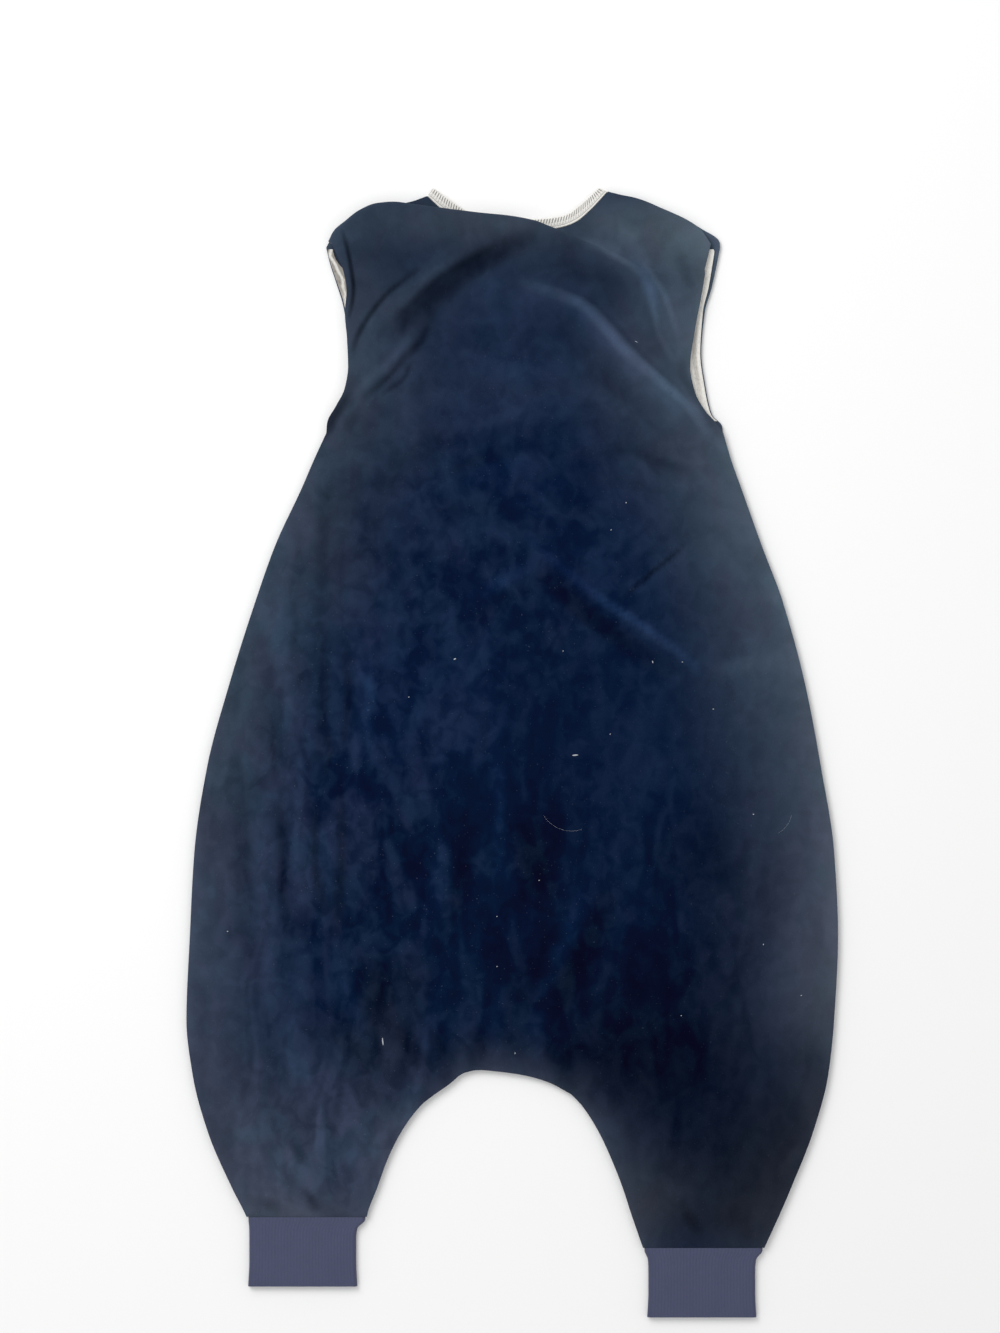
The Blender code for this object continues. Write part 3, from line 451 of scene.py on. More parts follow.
@dataclass(frozen=True)
class Relief:
    """Creases, ripples and tone patches of one cloth."""

    creases: tuple[Crease, ...]
    ripples: tuple[Ripple, ...] = ()
    marks: tuple[Mark, ...] = ()
    # The part of a half wave by which a crease tapers at its ends
    taper: Spot = (0.06, 0.94)
    taper_power: float = 0.7
    tone_spread: float = 1.3
    tone_power: float = 2.8
    reach: float = 3.2
    steps: int = 10

    def walk(self, path: tuple[Spot, ...]) -> Array:
        """Points along a smooth path through some plan points.

        Args:
            path: the points that the path goes through.

        Returns:
            An array of plan points, evenly shared between the given ones.
        """
        knots = np.asarray(path, float)
        knots = np.vstack([2 * knots[0] - knots[1], knots, 2 * knots[-1] - knots[-2]])
        points = []
        for k in range(1, len(knots) - 2):
            a, b, c, d = knots[k - 1:k + 3]
            for t in np.linspace(0, 1, self.steps, endpoint=False):
                points.append(0.5 * (2 * b + (c - a) * t + (2 * a - 5 * b + 4 * c - d) * t * t
                                     + (3 * b - a - 3 * c + d) * t ** 3))
        return np.vstack([points, knots[-2]])

    def fields(self, x: Array, y: Array) -> tuple[Array, ...]:
        """Rise and shading at plan points.

        Args:
            x: the points' places across the sack.
            y: the points' places along the sack.

        Returns:
            Rise in millimetres, painted shade of the dark creases, and tone (painted highlight of the ridges
            and tone patches) and painted sheen haze of all the rest.
        """
        rise, dark, tone, sheen_haze = (np.zeros_like(x) for _ in range(4))
        for crease in self.creases:
            points = self.walk(crease.path)
            margin = self.reach * crease.width
            low, high = points.min(0) - margin, points.max(0) + margin
            near = (x > low[0]) & (x < high[0]) & (y > low[1]) & (y < high[1])
            if not near.any():
                continue
            gaps = np.hypot(x[near][:, None] - points[:, 0], y[near][:, None] - points[:, 1])
            share = gaps.argmin(1) / (len(points) - 1)
            taper = np.maximum(np.sin(math.pi * mix(*self.taper, share)), 0) ** self.taper_power
            gap = gaps.min(1) / crease.width
            rise[near] += crease.rise * taper * np.exp(-gap ** 2)
            spread = taper * np.exp(-(gap / self.tone_spread) ** self.tone_power)
            # Painted highlight along ridges, painted shade along troughs, painted sheen on crests
            (tone if crease.tone > 0 else dark)[near] += crease.tone * spread
            sheen_haze[near] += crease.sheen_haze * spread
        for wave in self.ripples:
            rise += wave.rise * (np.sin(x * wave.x1 + y * wave.y1 + wave.shift1)
                                 * np.sin(x * wave.x2 + y * wave.y2 + wave.shift2))
        for mark in self.marks:
            weight = patch(x, y, mark.x, mark.y, mark.half_x, mark.half_y)
            tone += mark.tone * weight
            sheen_haze += mark.sheen_haze * weight
        return rise, dark, tone, sheen_haze


# Each crease: path, rise, width, tone of painted highlight (above nought) or painted shade (below), and
# painted sheen
BACK_CREASES = (
    # Left shoulder and yoke, down towards the underarm
    Crease(((-145.4, 446.6), (-140.9, 429.6), (-137.5, 409.2), (-136.8, 395.6), (-140.2, 376)),
           -1.2, 1.5, -1.5),
    Crease(((-82.1, 414.9), (-104.7, 397.9), (-120.5, 379.8), (-131.8, 361.7), (-136.8, 347)),
           -1.6, 2.1, -1.1),
    Crease(((-21.9, 443.8), (-53.8, 427.4), (-77.8, 405.9), (-101.9, 383.6), (-127.7, 356)),
           2.8, 6.5, 0.2, 0.25),
    Crease(((-18.2, 440.6), (-45.4, 427), (-63.5, 415.7), (-77.1, 404.4), (-88.4, 393.1), (-104.2, 377.7)),
           1.4, 2, 0.12, 0.22),
    Crease(((-14.6, 435.8), (-41.8, 422.2), (-59.9, 410.9), (-73.5, 399.6), (-84.8, 388.3), (-100.6, 372.9)),
           -1.4, 2.2, -0.5),
    Crease(((12, 440), (-14, 430), (-38, 416), (-62, 396), (-82, 377), (-98.5, 360)), -3.2, 7.5, -1),
    Crease(((4.7, 421.4), (-10.8, 411.1), (-31.4, 394.7)), 1.2, 7, 0.3, 0.05),
    Crease(((-44, 378), (-4, 390), (44, 382)), 1, 15, 0.28, 0.04),
    Crease(((-76.1, 378.4), (-85.6, 362.1), (-96.8, 340.6), (-117.4, 323.4), (-136.3, 302.7),
            (-153.5, 276.9)),
           3, 4.8, 0.28, 0.3),
    Crease(((-70.1, 375), (-76.1, 357.8), (-91.6, 341.4), (-105.3, 324.2), (-126, 307)), -2.2, 3.4, -0.75),
    Crease(((-86.4, 338), (-94.2, 321.6), (-110.5, 310.5)), -1, 1.9, -0.6),
    Crease(((-90.5, 338.1), (-104.3, 321.8), (-124.9, 301.1)), 0.8, 1.7, 0.35, 0.2),
    Crease(((-127.7, 303.6), (-143.2, 289), (-158.7, 269.2)), 2, 5, 0.2, 0.2),
    Crease(((-140, 306), (-152, 291), (-164, 272)), -1.2, 4.5, -0.9),
    # Right shoulder and yoke, down towards the underarm
    Crease(((10.2, 404.8), (40.9, 393.3), (62.6, 383.6), (79, 366.6), (98.6, 344.3), (121, 325.4),
            (150.9, 300.3), (168.4, 275.5), (190.8, 252.3)), 3, 3.6, 0.55, 0.75),
    Crease(((46, 399), (66, 389), (82, 375), (95, 361), (109, 345), (125, 329),
            (141, 314.5), (154, 302)), -1.2, 2.2, -0.35),
    Crease(((14.2, 396.8), (40.9, 387.3), (60.6, 377.6), (77, 358.6), (97.6, 336.3), (120, 317.4),
            (150.9, 291.3), (162.4, 269.5)), 2.2, 12, 0.4, 0.2),
    Crease(((37.8, 450.4), (62.8, 440.8), (84.3, 430.1), (98.7, 421.7), (109, 413)), 1.8, 1.9, 0.4, 0.6),
    Crease(((60, 443), (84, 433), (100, 424)), 0.6, 5.5, 0.1, 0.3),
    Crease(((102, 432), (112, 414), (119.5, 398), (124, 382)), 2.4, 4.4, 0.75, 0.3),
    Crease(((112, 424), (125, 403.8), (130.9, 394.2), (136.9, 377.5), (142.8, 360)), 1.6, 1.9, 0.45, 0.6),
    Crease(((117, 398), (122.6, 377.5), (127.3, 358.4), (138.6, 339)), 1.4, 1.8, 0.35, 0.55),
    Crease(((80, 440), (91, 447.6), (99, 448.6), (106, 443), (112, 430)), 0.8, 2, 0.12, 0.35),
    Crease(((89, 434.9), (98.2, 442.2), (107.6, 434.9), (114.2, 418)), 1.4, 5.5, 0.2, 0.35),
    Crease(((112.3, 391.7), (120.7, 369.4), (132.1, 345.3)), -1.2, 4, -0.25),
    Crease(((49.4, 423.1), (77, 405.9), (99.3, 380.1), (114.8, 351.7)), -2, 10, -0.22),
    Crease(((140.6, 433.4), (150.1, 409.4), (156.1, 399)), -1.2, 4, -0.35),
    Crease(((150.9, 345.7), (147.5, 326.8), (163, 301), (175.9, 282.9)), -1.2, 3.6, -0.45),
    Crease(((109.6, 360.6), (133.7, 331.7), (152.7, 312.8)), -1.5, 7, -0.35),
    Crease(((23.6, 377.8), (51.2, 364.1), (71.8, 341.7), (101, 307.3), (133.7, 285)), -1.6, 9, -0.3),
    # Chest and waist
    Crease(((20.2, 255.4), (58, 257.1), (102.8, 259.7)), -0.7, 3.6, -0.2),
    Crease(((-53.8, 270.9), (-101.9, 243.4), (-119.1, 215.9), (-132, 181.5)), -1.6, 9, -0.45),
    Crease(((-110.5, 251.1), (-125.1, 211.6), (-135.4, 177.2)), 1.4, 6, 0.35),
    Crease(((14, 184), (34, 166.4), (52.4, 151.7), (80.5, 129.6), (120.8, 104.3), (149.8, 81.4),
            (164, 68)), 2.2, 3.2, 0.62, 0.05),
    Crease(((68, 138), (104, 114.5), (140, 89), (158, 73)), 0.4, 3, 0.35, 0.18),
    Crease(((22, 160), (60, 124), (92, 100), (130, 73)), -1.6, 7.5, -0.8),
    Crease(((146, 178), (122, 158), (95.5, 134.6)), -1.3, 1.8, -1.1),
    Crease(((146, 181), (124, 163), (100, 142)), 0.6, 1.8, 0.2, 0.06),
    Crease(((-60, 240), (-34, 251), (-4, 262)), -0.6, 4.5, -0.35),
    Crease(((-44, 230), (-12, 244), (22, 250)), 0.5, 5.5, 0.22),
    Crease(((60, 236), (96, 233), (130, 222)), -0.6, 5, -0.3),
    Crease(((104, 258), (124, 252), (148, 243)), -0.7, 3.4, -0.4),
    Crease(((-22, 300), (14, 292), (52, 297)), 0.6, 8, 0.22, 0.04),
    Crease(((-72, 206), (-38, 213), (2, 206)), -0.5, 6, -0.28),
    Crease(((30, 214), (64, 206), (100, 209)), -0.5, 6, -0.25),
    Crease(((-30, 336), (6, 326), (44, 330)), 0.6, 7, 0.2, 0.05),
    Crease(((-34, 134), (-2, 152), (30, 166)), 0.8, 5, 0.35),
    Crease(((-46, 108), (-12, 128), (24, 148)), -0.8, 6, -0.3),
    Crease(((210.3, 156.5), (228.3, 135.9), (240.4, 113.5)), 1.4, 5, 0.2, 0.35),
    Crease(((172, 70), (206, 77), (242, 82)), 1, 6, 0.1, 0.28),
    # Long streaks down the left and the middle
    Crease(((-182.8, 184), (-186.2, 98), (-181.9, 46.4)), -0.8, 4, -0.3),
    Crease(((-196, 150), (-201, 90), (-192, 20)), 0.8, 6, 0.2, 0.12),
    Crease(((-165, 120), (-162, 46), (-166, -10)), -1, 4.2, -0.55),
    Crease(((-143, 96), (-141, 46), (-146, 4)), -1.2, 3.2, -0.75),
    Crease(((-128, 90), (-124, 46), (-128, 0)), 0.8, 5.5, 0.4, 0.06),
    Crease(((-196.5, -28.4), (-199, -90), (-192, -160)), -1.2, 4, -0.6),
    Crease(((-182, -30), (-182, -92), (-176, -140)), 0.8, 6, 0.15, 0.14),
    Crease(((-167.3, -40), (-170, -92), (-162, -136)), -1, 3, -0.85),
    Crease(((-181.9, -8), (-160, -60), (-158, -100)), 1.2, 5, 0.3, 0.1),
    Crease(((-149, -20), (-147, -92), (-152, -150)), -1, 3.8, -0.7),
    Crease(((-204, 32), (-206, 4), (-203, -22)), -0.8, 2.4, -0.6),
    Crease(((-159, 20), (-157, 0), (-160, -18)), -0.8, 2.2, -0.7),
    Crease(((-212, -60), (-214, -120), (-206, -200)), 0.8, 7, 0.2, 0.12),
    Crease(((-228, -20), (-232, -100), (-226, -190)), -0.6, 6, -0.25),
    Crease(((-184, -150), (-178, -200), (-184, -250)), 0.8, 7, 0.2, 0.14),
    Crease(((-152, 250), (-163, 190), (-160, 130)), -0.9, 5, -0.4),
    Crease(((-40, -51.6), (-43.4, -108.4), (-52, -153.1)), -0.9, 7, -0.5),
    Crease(((-66, -60), (-64, -110), (-74, -150)), 0.7, 7, 0.35),
    Crease(((12, -58), (20, -100), (30, -132)), -1, 12, -0.6),
    Crease(((-12, 20), (-10, -60), (-8, -130)), 0.6, 6, 0.35),
    # Seat
    Crease(((84.7, -115), (66.3, -161.5), (35.4, -219.6)), -1.4, 9, -0.6),
    Crease(((62, -120), (42, -170), (14, -232)), 0.8, 6, 0.45),
    Crease(((-9.9, -176.3), (-13.3, -218.4), (-15.9, -253.7)), 0.9, 5, 0.35),
    Crease(((37.4, -206.4), (23.6, -230.5), (11.6, -249.4)), 0.8, 5, 0.35),
    Crease(((-57.2, -176.3), (-65.8, -215), (-76.1, -249.4)), 0.9, 6, 0.35),
    Crease(((-152.7, -176.3), (-136.3, -221.9), (-115.7, -259.7)), 0.9, 6, 0.35),
    Crease(((-116.5, -182.3), (-117.4, -211.6), (-107.1, -237.4)), -0.8, 9, -0.5),
    Crease(((-99, -236), (-89, -252), (-82, -268)), -0.7, 3.2, -0.4),
    Crease(((-85, -230), (-75, -249), (-68, -266)), 0.6, 3.4, 0.35, 0.08),
    Crease(((-67, -238), (-61, -252), (-56, -266)), -0.6, 3.2, -0.35),
    Crease(((-31, -238), (-28, -251), (-27, -263)), -0.5, 3.4, -0.3),
    Crease(((26, -238), (23, -254), (20, -268)), 0.5, 3.6, 0.3),
    Crease(((54, -246), (47, -262), (43, -278)), -0.5, 4, -0.3),
    # Legs
    Crease(((-193.1, -330.2), (-185.3, -342.3), (-177.6, -356)), -1, 3.2, -0.45),
    Crease(((-197.4, -332), (-190.5, -345.7), (-182.8, -359.5)), 0.7, 4, 0.1, 0.2),
    Crease(((-180.2, -374.1), (-173.3, -382.7), (-167.3, -394.7)), -1.6, 3.2, -0.9),
    Crease(((-218, -378.4), (-205.1, -381.8), (-193.1, -390.4)), 1.2, 3.6, 0.2, 0.4),
    Crease(((-213.7, -385.3), (-203.4, -388.7), (-194.8, -394.7)), -1, 5, -0.4),
    Crease(((-129.4, -346.6), (-126.8, -354.3), (-125.1, -362.1)), 0.6, 3.2, 0.1, 0.3),
    Crease(((-218.9, -277.8), (-220.6, -297.6), (-221.4, -318.2)), -1.2, 6, -0.2),
    Crease(((147.5, -390.4), (153.5, -400.8), (161.2, -414.5)), -1.2, 3.8, -0.6),
    Crease(((253.3, -330.2), (244.7, -342.3), (234.3, -356.9)), 1, 4, 0.1, 0.2),
    Crease(((123.4, -369.8), (137.2, -372.4), (156.1, -378.4)), 0.8, 3.8, 0.1, 0.08),
    Crease(((244.7, -236.5), (242.9, -261.4), (237.8, -287.2)), -1.2, 6, -0.2),
)
BACK_RIPPLES = (
    Ripple(0.5, 0.0213, 0.0105, 0.6, -0.00625, 0.0141, 0),
    Ripple(0.35, 0.0345, 0, -1.1, 0.0111, 0.0083, 2),
    Ripple(0.16, 0.083, 0.021, 0.4, -0.031, 0.047, 1.3),
    Ripple(0.1, 0.143, -0.034, 2.1, 0.052, 0.071, 0.2),
)
BACK_MARKS = (
    # Neck and shoulders
    Mark(-10, 440, 130, 75, -0.38, 0.42), Mark(-50, 462, 80, 22, -0.2, 0.35),
    Mark(80, 462, 30, 24, -0.1, 0.45), Mark(138, 452, 48, 40, -0.3, 0.8),
    Mark(-122, 428, 60, 50, -0.18, -0.36), Mark(-100, 384, 46, 26, -0.3, -0.1),
    Mark(-148, 280, 40, 60, -0.3, -0.2), Mark(180, 282, 26, 40, -0.1, -0.35),
    Mark(16, 458, 100, 20, 0, 0.52), Mark(172, 408, 24, 30, -0.2, -0.35),
    # Chest, waist and sides
    Mark(95, 300, 42, 76, -0.06, 0.2), Mark(-92, 264, 34, 34, 0.14, 0.2),
    Mark(124, 362, 30, 30, 0.16, 0.24), Mark(0, 310, 60, 40, 0, 0.12), Mark(-140, 310, 30, 60, -0.24),
    Mark(-164, 196, 42, 44, -0.3), Mark(-140, 146, 34, 44, -0.12, 0.1), Mark(-72, 180, 50, 80, -0.14, 0.05),
    Mark(32, 100, 36, 46, -0.22), Mark(140, 262, 44, 24, -0.2, 0.1), Mark(196, 44, 60, 70, -0.05, 0.16),
    Mark(138, -92, 40, 44, -0.42), Mark(30, -120, 64, 110, 0, -0.11),
    Mark(-140, -150, 26, 40, -0.32, -0.04), Mark(-112, -246, 44, 26, -0.66, 0.04),
    Mark(76, -248, 34, 30, -0.26), Mark(190, -248, 44, 30, -0.28), Mark(-236, -110, 30, 90, 0.08, 0.02),
    Mark(258, -180, 24, 90, -0.22, 0.08), Mark(0, 331, 22, 10, 0.25, 0.05),
    Mark(-6, 304, 90, 50, -0.08, 0.08), Mark(0, 180, 60, 40, -0.15), Mark(40, 5, 60, 90, -0.3, -0.03),
    Mark(170, 190, 46, 110, -0.05, 0.22), Mark(200, 20, 36, 90, 0.15), Mark(-250, 40, 40, 140, -0.35),
    Mark(-184, -80, 30, 150, 0.05, 0.06), Mark(-95, -90, 70, 70, -0.42), Mark(30, -84, 46, 60, -0.6),
    Mark(14, -196, 46, 50, -0.76), Mark(-96, -200, 40, 34, -0.76, -0.02),
    # Seat and right leg, darker
    Mark(122, -202, 76, 66, -0.86, -0.03), Mark(112, -275, 64, 44, -0.85),
    Mark(195, -358, 95, 92, -1.45, -0.03), Mark(192, -100, 44, 110, -0.45), Mark(265, -290, 30, 60, -0.45),
    Mark(252, -345, 26, 50, -0.1, -0.18), Mark(118, -388, 24, 24, -0.3),
    Mark(120, -380, 40, 44, -0.1, 0.55), Mark(92, -320, 30, 40, 0, 0.18),
    Mark(200, -396, 34, 24, -0.3, 0.05),
    # Left leg and between the legs
    Mark(-170, -340, 75, 80, 0.22, 0.85), Mark(-112, -312, 30, 44, 0, 0.36),
    Mark(-180, -392, 70, 24, 0.04, 0.42), Mark(-250, -340, 24, 80, -0.25, -0.1),
    Mark(-10, -262, 90, 26, -0.3), Mark(-180, -402, 60, 18, -0.4, 0.25),
)
BACK_RELIEF = Relief(BACK_CREASES, BACK_RIPPLES, BACK_MARKS)

# Troughs in the fronts' underside; their tone is painted shade along them
FRONT_CREASES = (
    Crease(((-150, 260), (-96, 232), (-40, 214)), 1.1, 6, -0.3),
    Crease(((-120, 330), (-74, 352), (-22, 360)), 0.9, 5, -0.25),
    Crease(((-212, 60), (-196, -20), (-204, -110)), 1, 7, -0.25),
    Crease(((-110, 90), (-98, 20), (-112, -60)), 0.8, 8, -0.2),
    Crease(((-60, -150), (-52, -205), (-38, -252)), 0.9, 6, -0.3),
    Crease(((-214, -270), (-200, -318), (-182, -362)), 1, 5, -0.3),
    Crease(((-150, -300), (-158, -340), (-152, -384)), 0.8, 5, -0.25),
    Crease(((168, 252), (112, 226), (52, 204)), 1.1, 6.5, -0.3),
    Crease(((136, 334), (88, 350), (30, 352)), 0.9, 5, -0.25),
    Crease(((222, 40), (206, -48), (216, -130)), 1, 7, -0.25),
    Crease(((96, 60), (110, -14), (98, -96)), 0.8, 8, -0.2),
    Crease(((62, -140), (48, -196), (28, -250)), 0.9, 6, -0.3),
    Crease(((222, -260), (204, -318), (188, -372)), 1, 5, -0.3),
    Crease(((128, -310), (142, -356), (138, -404)), 0.8, 5, -0.25),
)
FRONT_RELIEF = Relief(FRONT_CREASES)


class Patches(NamedTuple):
    """Random patches: size in millimetres, finer layers, warp, and the step that sharpens them."""

    size: Size
    detail: float = 2
    warp: float = 0
    step: Spot | None = None


class Graph:
    """Nodes of one material round its Principled shader."""

    def __init__(self, name: str) -> None:
        """Start a material whose shader is its only surface.

        Args:
            name: the material's name.
        """
        self.material = bpy.data.materials.new(name)
        self.material.use_nodes = True
        self.tree = self.material.node_tree
        self.shader = self.tree.nodes["Principled BSDF"]
        self.places = self.node("TexCoord", {}, {}).socket.node.outputs

    def node(self, kind: str, settings: dict[str, object], sockets: dict[str | int, object],
             output: str | int = 0) -> "Signal":
        """Add a node.

        Args:
            kind: the node's type.
            settings: its own properties, set first.
            sockets: values or signals of its inputs, by name or place.
            output: the output that is wanted, by name or place.

        Returns:
            That output.
        """
        node = self.tree.nodes.new(f"ShaderNode{kind}")
        for name, value in settings.items():
            setattr(node, name, value)
        for key, value in sockets.items():
            self.feed(node.inputs[key], value)
        return Signal(self, node.outputs[output])

    def feed(self, socket: bpy.types.NodeSocket, value: object) -> None:
        """Link a signal to an input, or set the input's own value.

        Args:
            socket: the input.
            value: a signal, number, vector or colour.
        """
        if isinstance(value, Signal):
            self.tree.links.new(value.socket, socket)
        else:
            socket.default_value = (*value, 1) if socket.type == "RGBA" else value

    def math(self, operation: str, *terms: object) -> "Signal":
        """Result of a Math node on signals and numbers."""
        return self.node("Math", {"operation": operation}, dict(enumerate(terms)))

    def attribute(self, name: str) -> "Signal":
        """A number that each point of the mesh carries."""
        return self.node("Attribute", {"attribute_name": name}, {}, "Fac")

    def axes(self, source: str) -> tuple["Signal", "Signal", "Signal"]:
        """Coordinates of the surface point, from the object or its UV map, one by one."""
        first = self.node("SeparateXYZ", {}, {0: Signal(self, self.places[source])})
        return tuple(Signal(self, socket) for socket in first.socket.node.outputs)

    def noise(self, patches: Patches) -> "Signal":
        """Random patches over the object.

        Args:
            patches: their size, layers, warp and step.

        Returns:
            A value round one half, or from 0 to 1 where they have a step.
        """
        scale = tuple(1 / (length * MM) for length in patches.size)
        spot = self.node("Mapping", {}, {"Vector": Signal(self, self.places["Object"]), "Scale": scale})
        value = self.node("TexNoise", {}, {"Vector": spot, "Scale": 1, "Detail": patches.detail,
                                           "Distortion": patches.warp})
        return value.step(*patches.step) if patches.step else value

    def blend(self, share: object, first: object, second: object) -> "Signal":
        """Colour between two others."""
        return self.node("Mix", {"data_type": "RGBA"}, {0: share, 6: first, 7: second}, 2)

    def scaled(self, colour: object, factor: object) -> "Signal":
        """Colour times a number."""
        return self.node("VectorMath", {"operation": "SCALE"}, {"Vector": colour, "Scale": factor})

    def summed(self, first: object, second: object) -> "Signal":
        """Sum of two colours."""
        return self.node("VectorMath", {"operation": "ADD"}, {0: first, 1: second})

    def bump(self, height: "Signal", depth: float, strength: float) -> None:
        """Raise the surface by a height from 0 to 1 times a depth in millimetres."""
        sockets = {"Strength": strength, "Distance": depth * MM, "Height": height}
        self.set(Normal=self.node("Bump", {}, sockets))

    def set(self, **values: object) -> None:
        """Feed the shader's inputs, an underscore standing for a space in their names."""
        for name, value in values.items():
            self.feed(self.shader.inputs[name.replace("_", " ")], value)


@dataclass(frozen=True)
class Signal:
    """A shader socket that takes part in Python sums."""

    graph: Graph
    socket: bpy.types.NodeSocket

    def __add__(self, other: object) -> "Signal":
        """Sum."""
        return self.graph.math("ADD", self, other)

    def __radd__(self, other: object) -> "Signal":
        """Sum with a number first."""
        return self.graph.math("ADD", other, self)

    def __sub__(self, other: object) -> "Signal":
        """Difference."""
        return self.graph.math("SUBTRACT", self, other)

    def __rsub__(self, other: object) -> "Signal":
        """Difference from a number."""
        return self.graph.math("SUBTRACT", other, self)

    def __mul__(self, other: object) -> "Signal":
        """Product."""
        return self.graph.math("MULTIPLY", self, other)

    def __rmul__(self, other: object) -> "Signal":
        """Product with a number first."""
        return self.graph.math("MULTIPLY", other, self)

    def __rpow__(self, other: object) -> "Signal":
        """A number to the power of the signal."""
        return self.graph.math("POWER", other, self)

    def ribs(self, pitch: float) -> "Signal":
        """Round ribs from 0 to 1, a pitch in millimetres apart along the signal."""
        return self.graph.math("ABSOLUTE", self.graph.math("SINE", self * (math.pi / pitch / MM)))

    def step(self, low: float, high: float) -> "Signal":
        """Smooth step from 0 at one value to 1 at another."""
        sockets = {"Value": self, "From Min": low, "From Max": high}
        return self.graph.node("MapRange", {"interpolation_type": "SMOOTHSTEP"}, sockets)

    def within(self, low: float, high: float, soft: float) -> "Signal":
        """Mask that is 1 between two values and 0 outside them."""
        return self.step(low - soft, low + soft) * (1 - self.step(high - soft, high + soft))


@dataclass(frozen=True)
class Velour:
    """Navy cotton velour: deep navy with nap patches, greyed by a film of painted sheen where its haze is
    high.
    """

    name: str = "velour"
    deep: Colour = (0.003, 0.0125, 0.0405)
    violet: Colour = (0.0042, 0.011, 0.0388)
    film: Colour = (0.0238, 0.0342, 0.0362)
    violet_sheen_film: Colour = (0.03, 0.0326, 0.0372)
    hue_patch: Patches = Patches((30, 46, 40), 2, 0.5, (0.36, 0.64))
    cloud: Patches = Patches((34, 30, 30), 2, 0.4, (0.33, 0.67))
    streak: Patches = Patches((31, 84, 40), 1.5, 0.9, (0.34, 0.66))
    mottle: Patches = Patches((12, 15, 12), 2, 0.5, (0.32, 0.68))
    grain: Patches = Patches((0.9, 1.1, 0.9))
    speck: Patches = Patches((1.5, 1.5, 1.5), 0, 0, (0.8, 0.84))
    pile: Patches = Patches((0.45, 0.6, 0.45))
    # The patches turn from clouds to streaks towards the lower left: slant of the line, and its two ends
    slant: float = 0.4
    streak_line: Spot = (-0.04, 0.15)
    patch_tone: float = 0.62
    mottle_tone: float = 0.42
    grain_tone: float = 0.36
    nap_haze: float = 0.38
    sheen_haze_swing: float = 0.5
    least_haze: float = -0.13
    speck_haze: float = 0.9
    # Share of violet in the hue, and how much more of it the painted sheen film has towards the first of
    # these places
    violet_share: float = 0.4
    low_film: Spot = (-0.17, 0.03)
    low_violet: float = 0.5
    roughness: float = 0.9
    sheen: float = 0.03
    sheen_roughness: float = 0.5
    sheen_tint: Colour = (0.55, 0.68, 1)
    specular: float = 0.06
    mottle_bump: float = 0.8
    # Depth in millimetres and strength
    bump: Spot = (0.22, 0.6)

    def material(self) -> Material:
        """Nap patches, hue drift, painted sheen haze, pile and specks of lint.

        Returns:
            The material.
        """
        g = Graph(self.name)
        brush = g.attribute("brush")
        x, y, _ = g.axes("Object")
        streaky = 1 - (self.slant * x + y).step(*self.streak_line)
        cloud, streak = g.noise(self.cloud), g.noise(self.streak)
        patch = (cloud + (streak - cloud) * streaky - 0.5) * brush
        mottle = (g.noise(self.mottle) - 0.5) * brush
        grain = g.noise(self.grain) - 0.5
        nap = patch * self.patch_tone + mottle * self.mottle_tone + grain * self.grain_tone
        hue = self.violet_share + (g.noise(self.hue_patch) - 0.5) * brush
        # The tone attribute carries painted highlight and shade along the creases, and tone patches
        deep = g.scaled(g.blend(hue, self.deep, self.violet), 2 ** (g.attribute("tone") + nap))
        swing = 1 + self.sheen_haze_swing * nap
        specks = g.noise(self.speck) * brush
        # Painted sheen: the haze attribute, swung by the nap and raised by lint specks, sets how much grey
        # film is added
        sheen_haze = g.attribute("sheen_haze") * swing + self.nap_haze * nap + self.speck_haze * specks
        hue = hue + self.low_violet * (1 - y.step(*self.low_film))
        film = g.scaled(g.blend(hue, self.film, self.violet_sheen_film), g.math("MAXIMUM", sheen_haze, self.least_haze))
        g.set(Base_Color=g.summed(deep, film), Roughness=self.roughness, Specular_IOR_Level=self.specular)
        g.set(Sheen_Weight=self.sheen, Sheen_Roughness=self.sheen_roughness, Sheen_Tint=self.sheen_tint)
        g.bump(g.noise(self.pile) + self.mottle_bump * mottle, *self.bump)
        return g.material


@dataclass(frozen=True)
class Jersey:
    """Pale melange jersey with fine wales."""

    name: str = "lining_jersey"
    pale: Colour = (0.84, 0.82, 0.775)
    grey: Colour = (0.235, 0.215, 0.19)
    fleck: Patches = Patches((0.7, 3.2, 0.9), 3, 0, (0.44, 0.66))
    cloud: Patches = Patches((9, 16, 9), 1)
    wale: float = 0.9
    course: float = 0.7
    course_rise: float = 0.3
    # Grey of the flecks and of the clouds, then painted shade between the raised loops
    greys: Size = (0.22, 0.15, 0.12)
    roughness: float = 0.9
    sheen: float = 0.05
    bump: Spot = (0.15, 0.5)

    def material(self) -> Material:
        """Flecks of grey yarn on wales and courses.

        Returns:
            The material.
        """
        g = Graph(self.name)
        x, y, _ = g.axes("Object")
        cloud = g.noise(self.cloud) - 0.5
        knit = x.ribs(self.wale) * (1 - self.course_rise) + y.ribs(self.course) * self.course_rise
        of_fleck, of_cloud, of_gap = self.greys
        # Flecks and clouds are the yarn's own grey; the gaps and the tone attribute add painted shade
        grey = of_fleck * g.noise(self.fleck) + of_cloud * cloud + of_gap * (1 - knit) - g.attribute("tone")
        g.set(Base_Color=g.blend(grey, self.pale, self.grey))
        g.set(Roughness=self.roughness, Sheen_Weight=self.sheen)
        g.bump(knit, *self.bump)
        return g.material


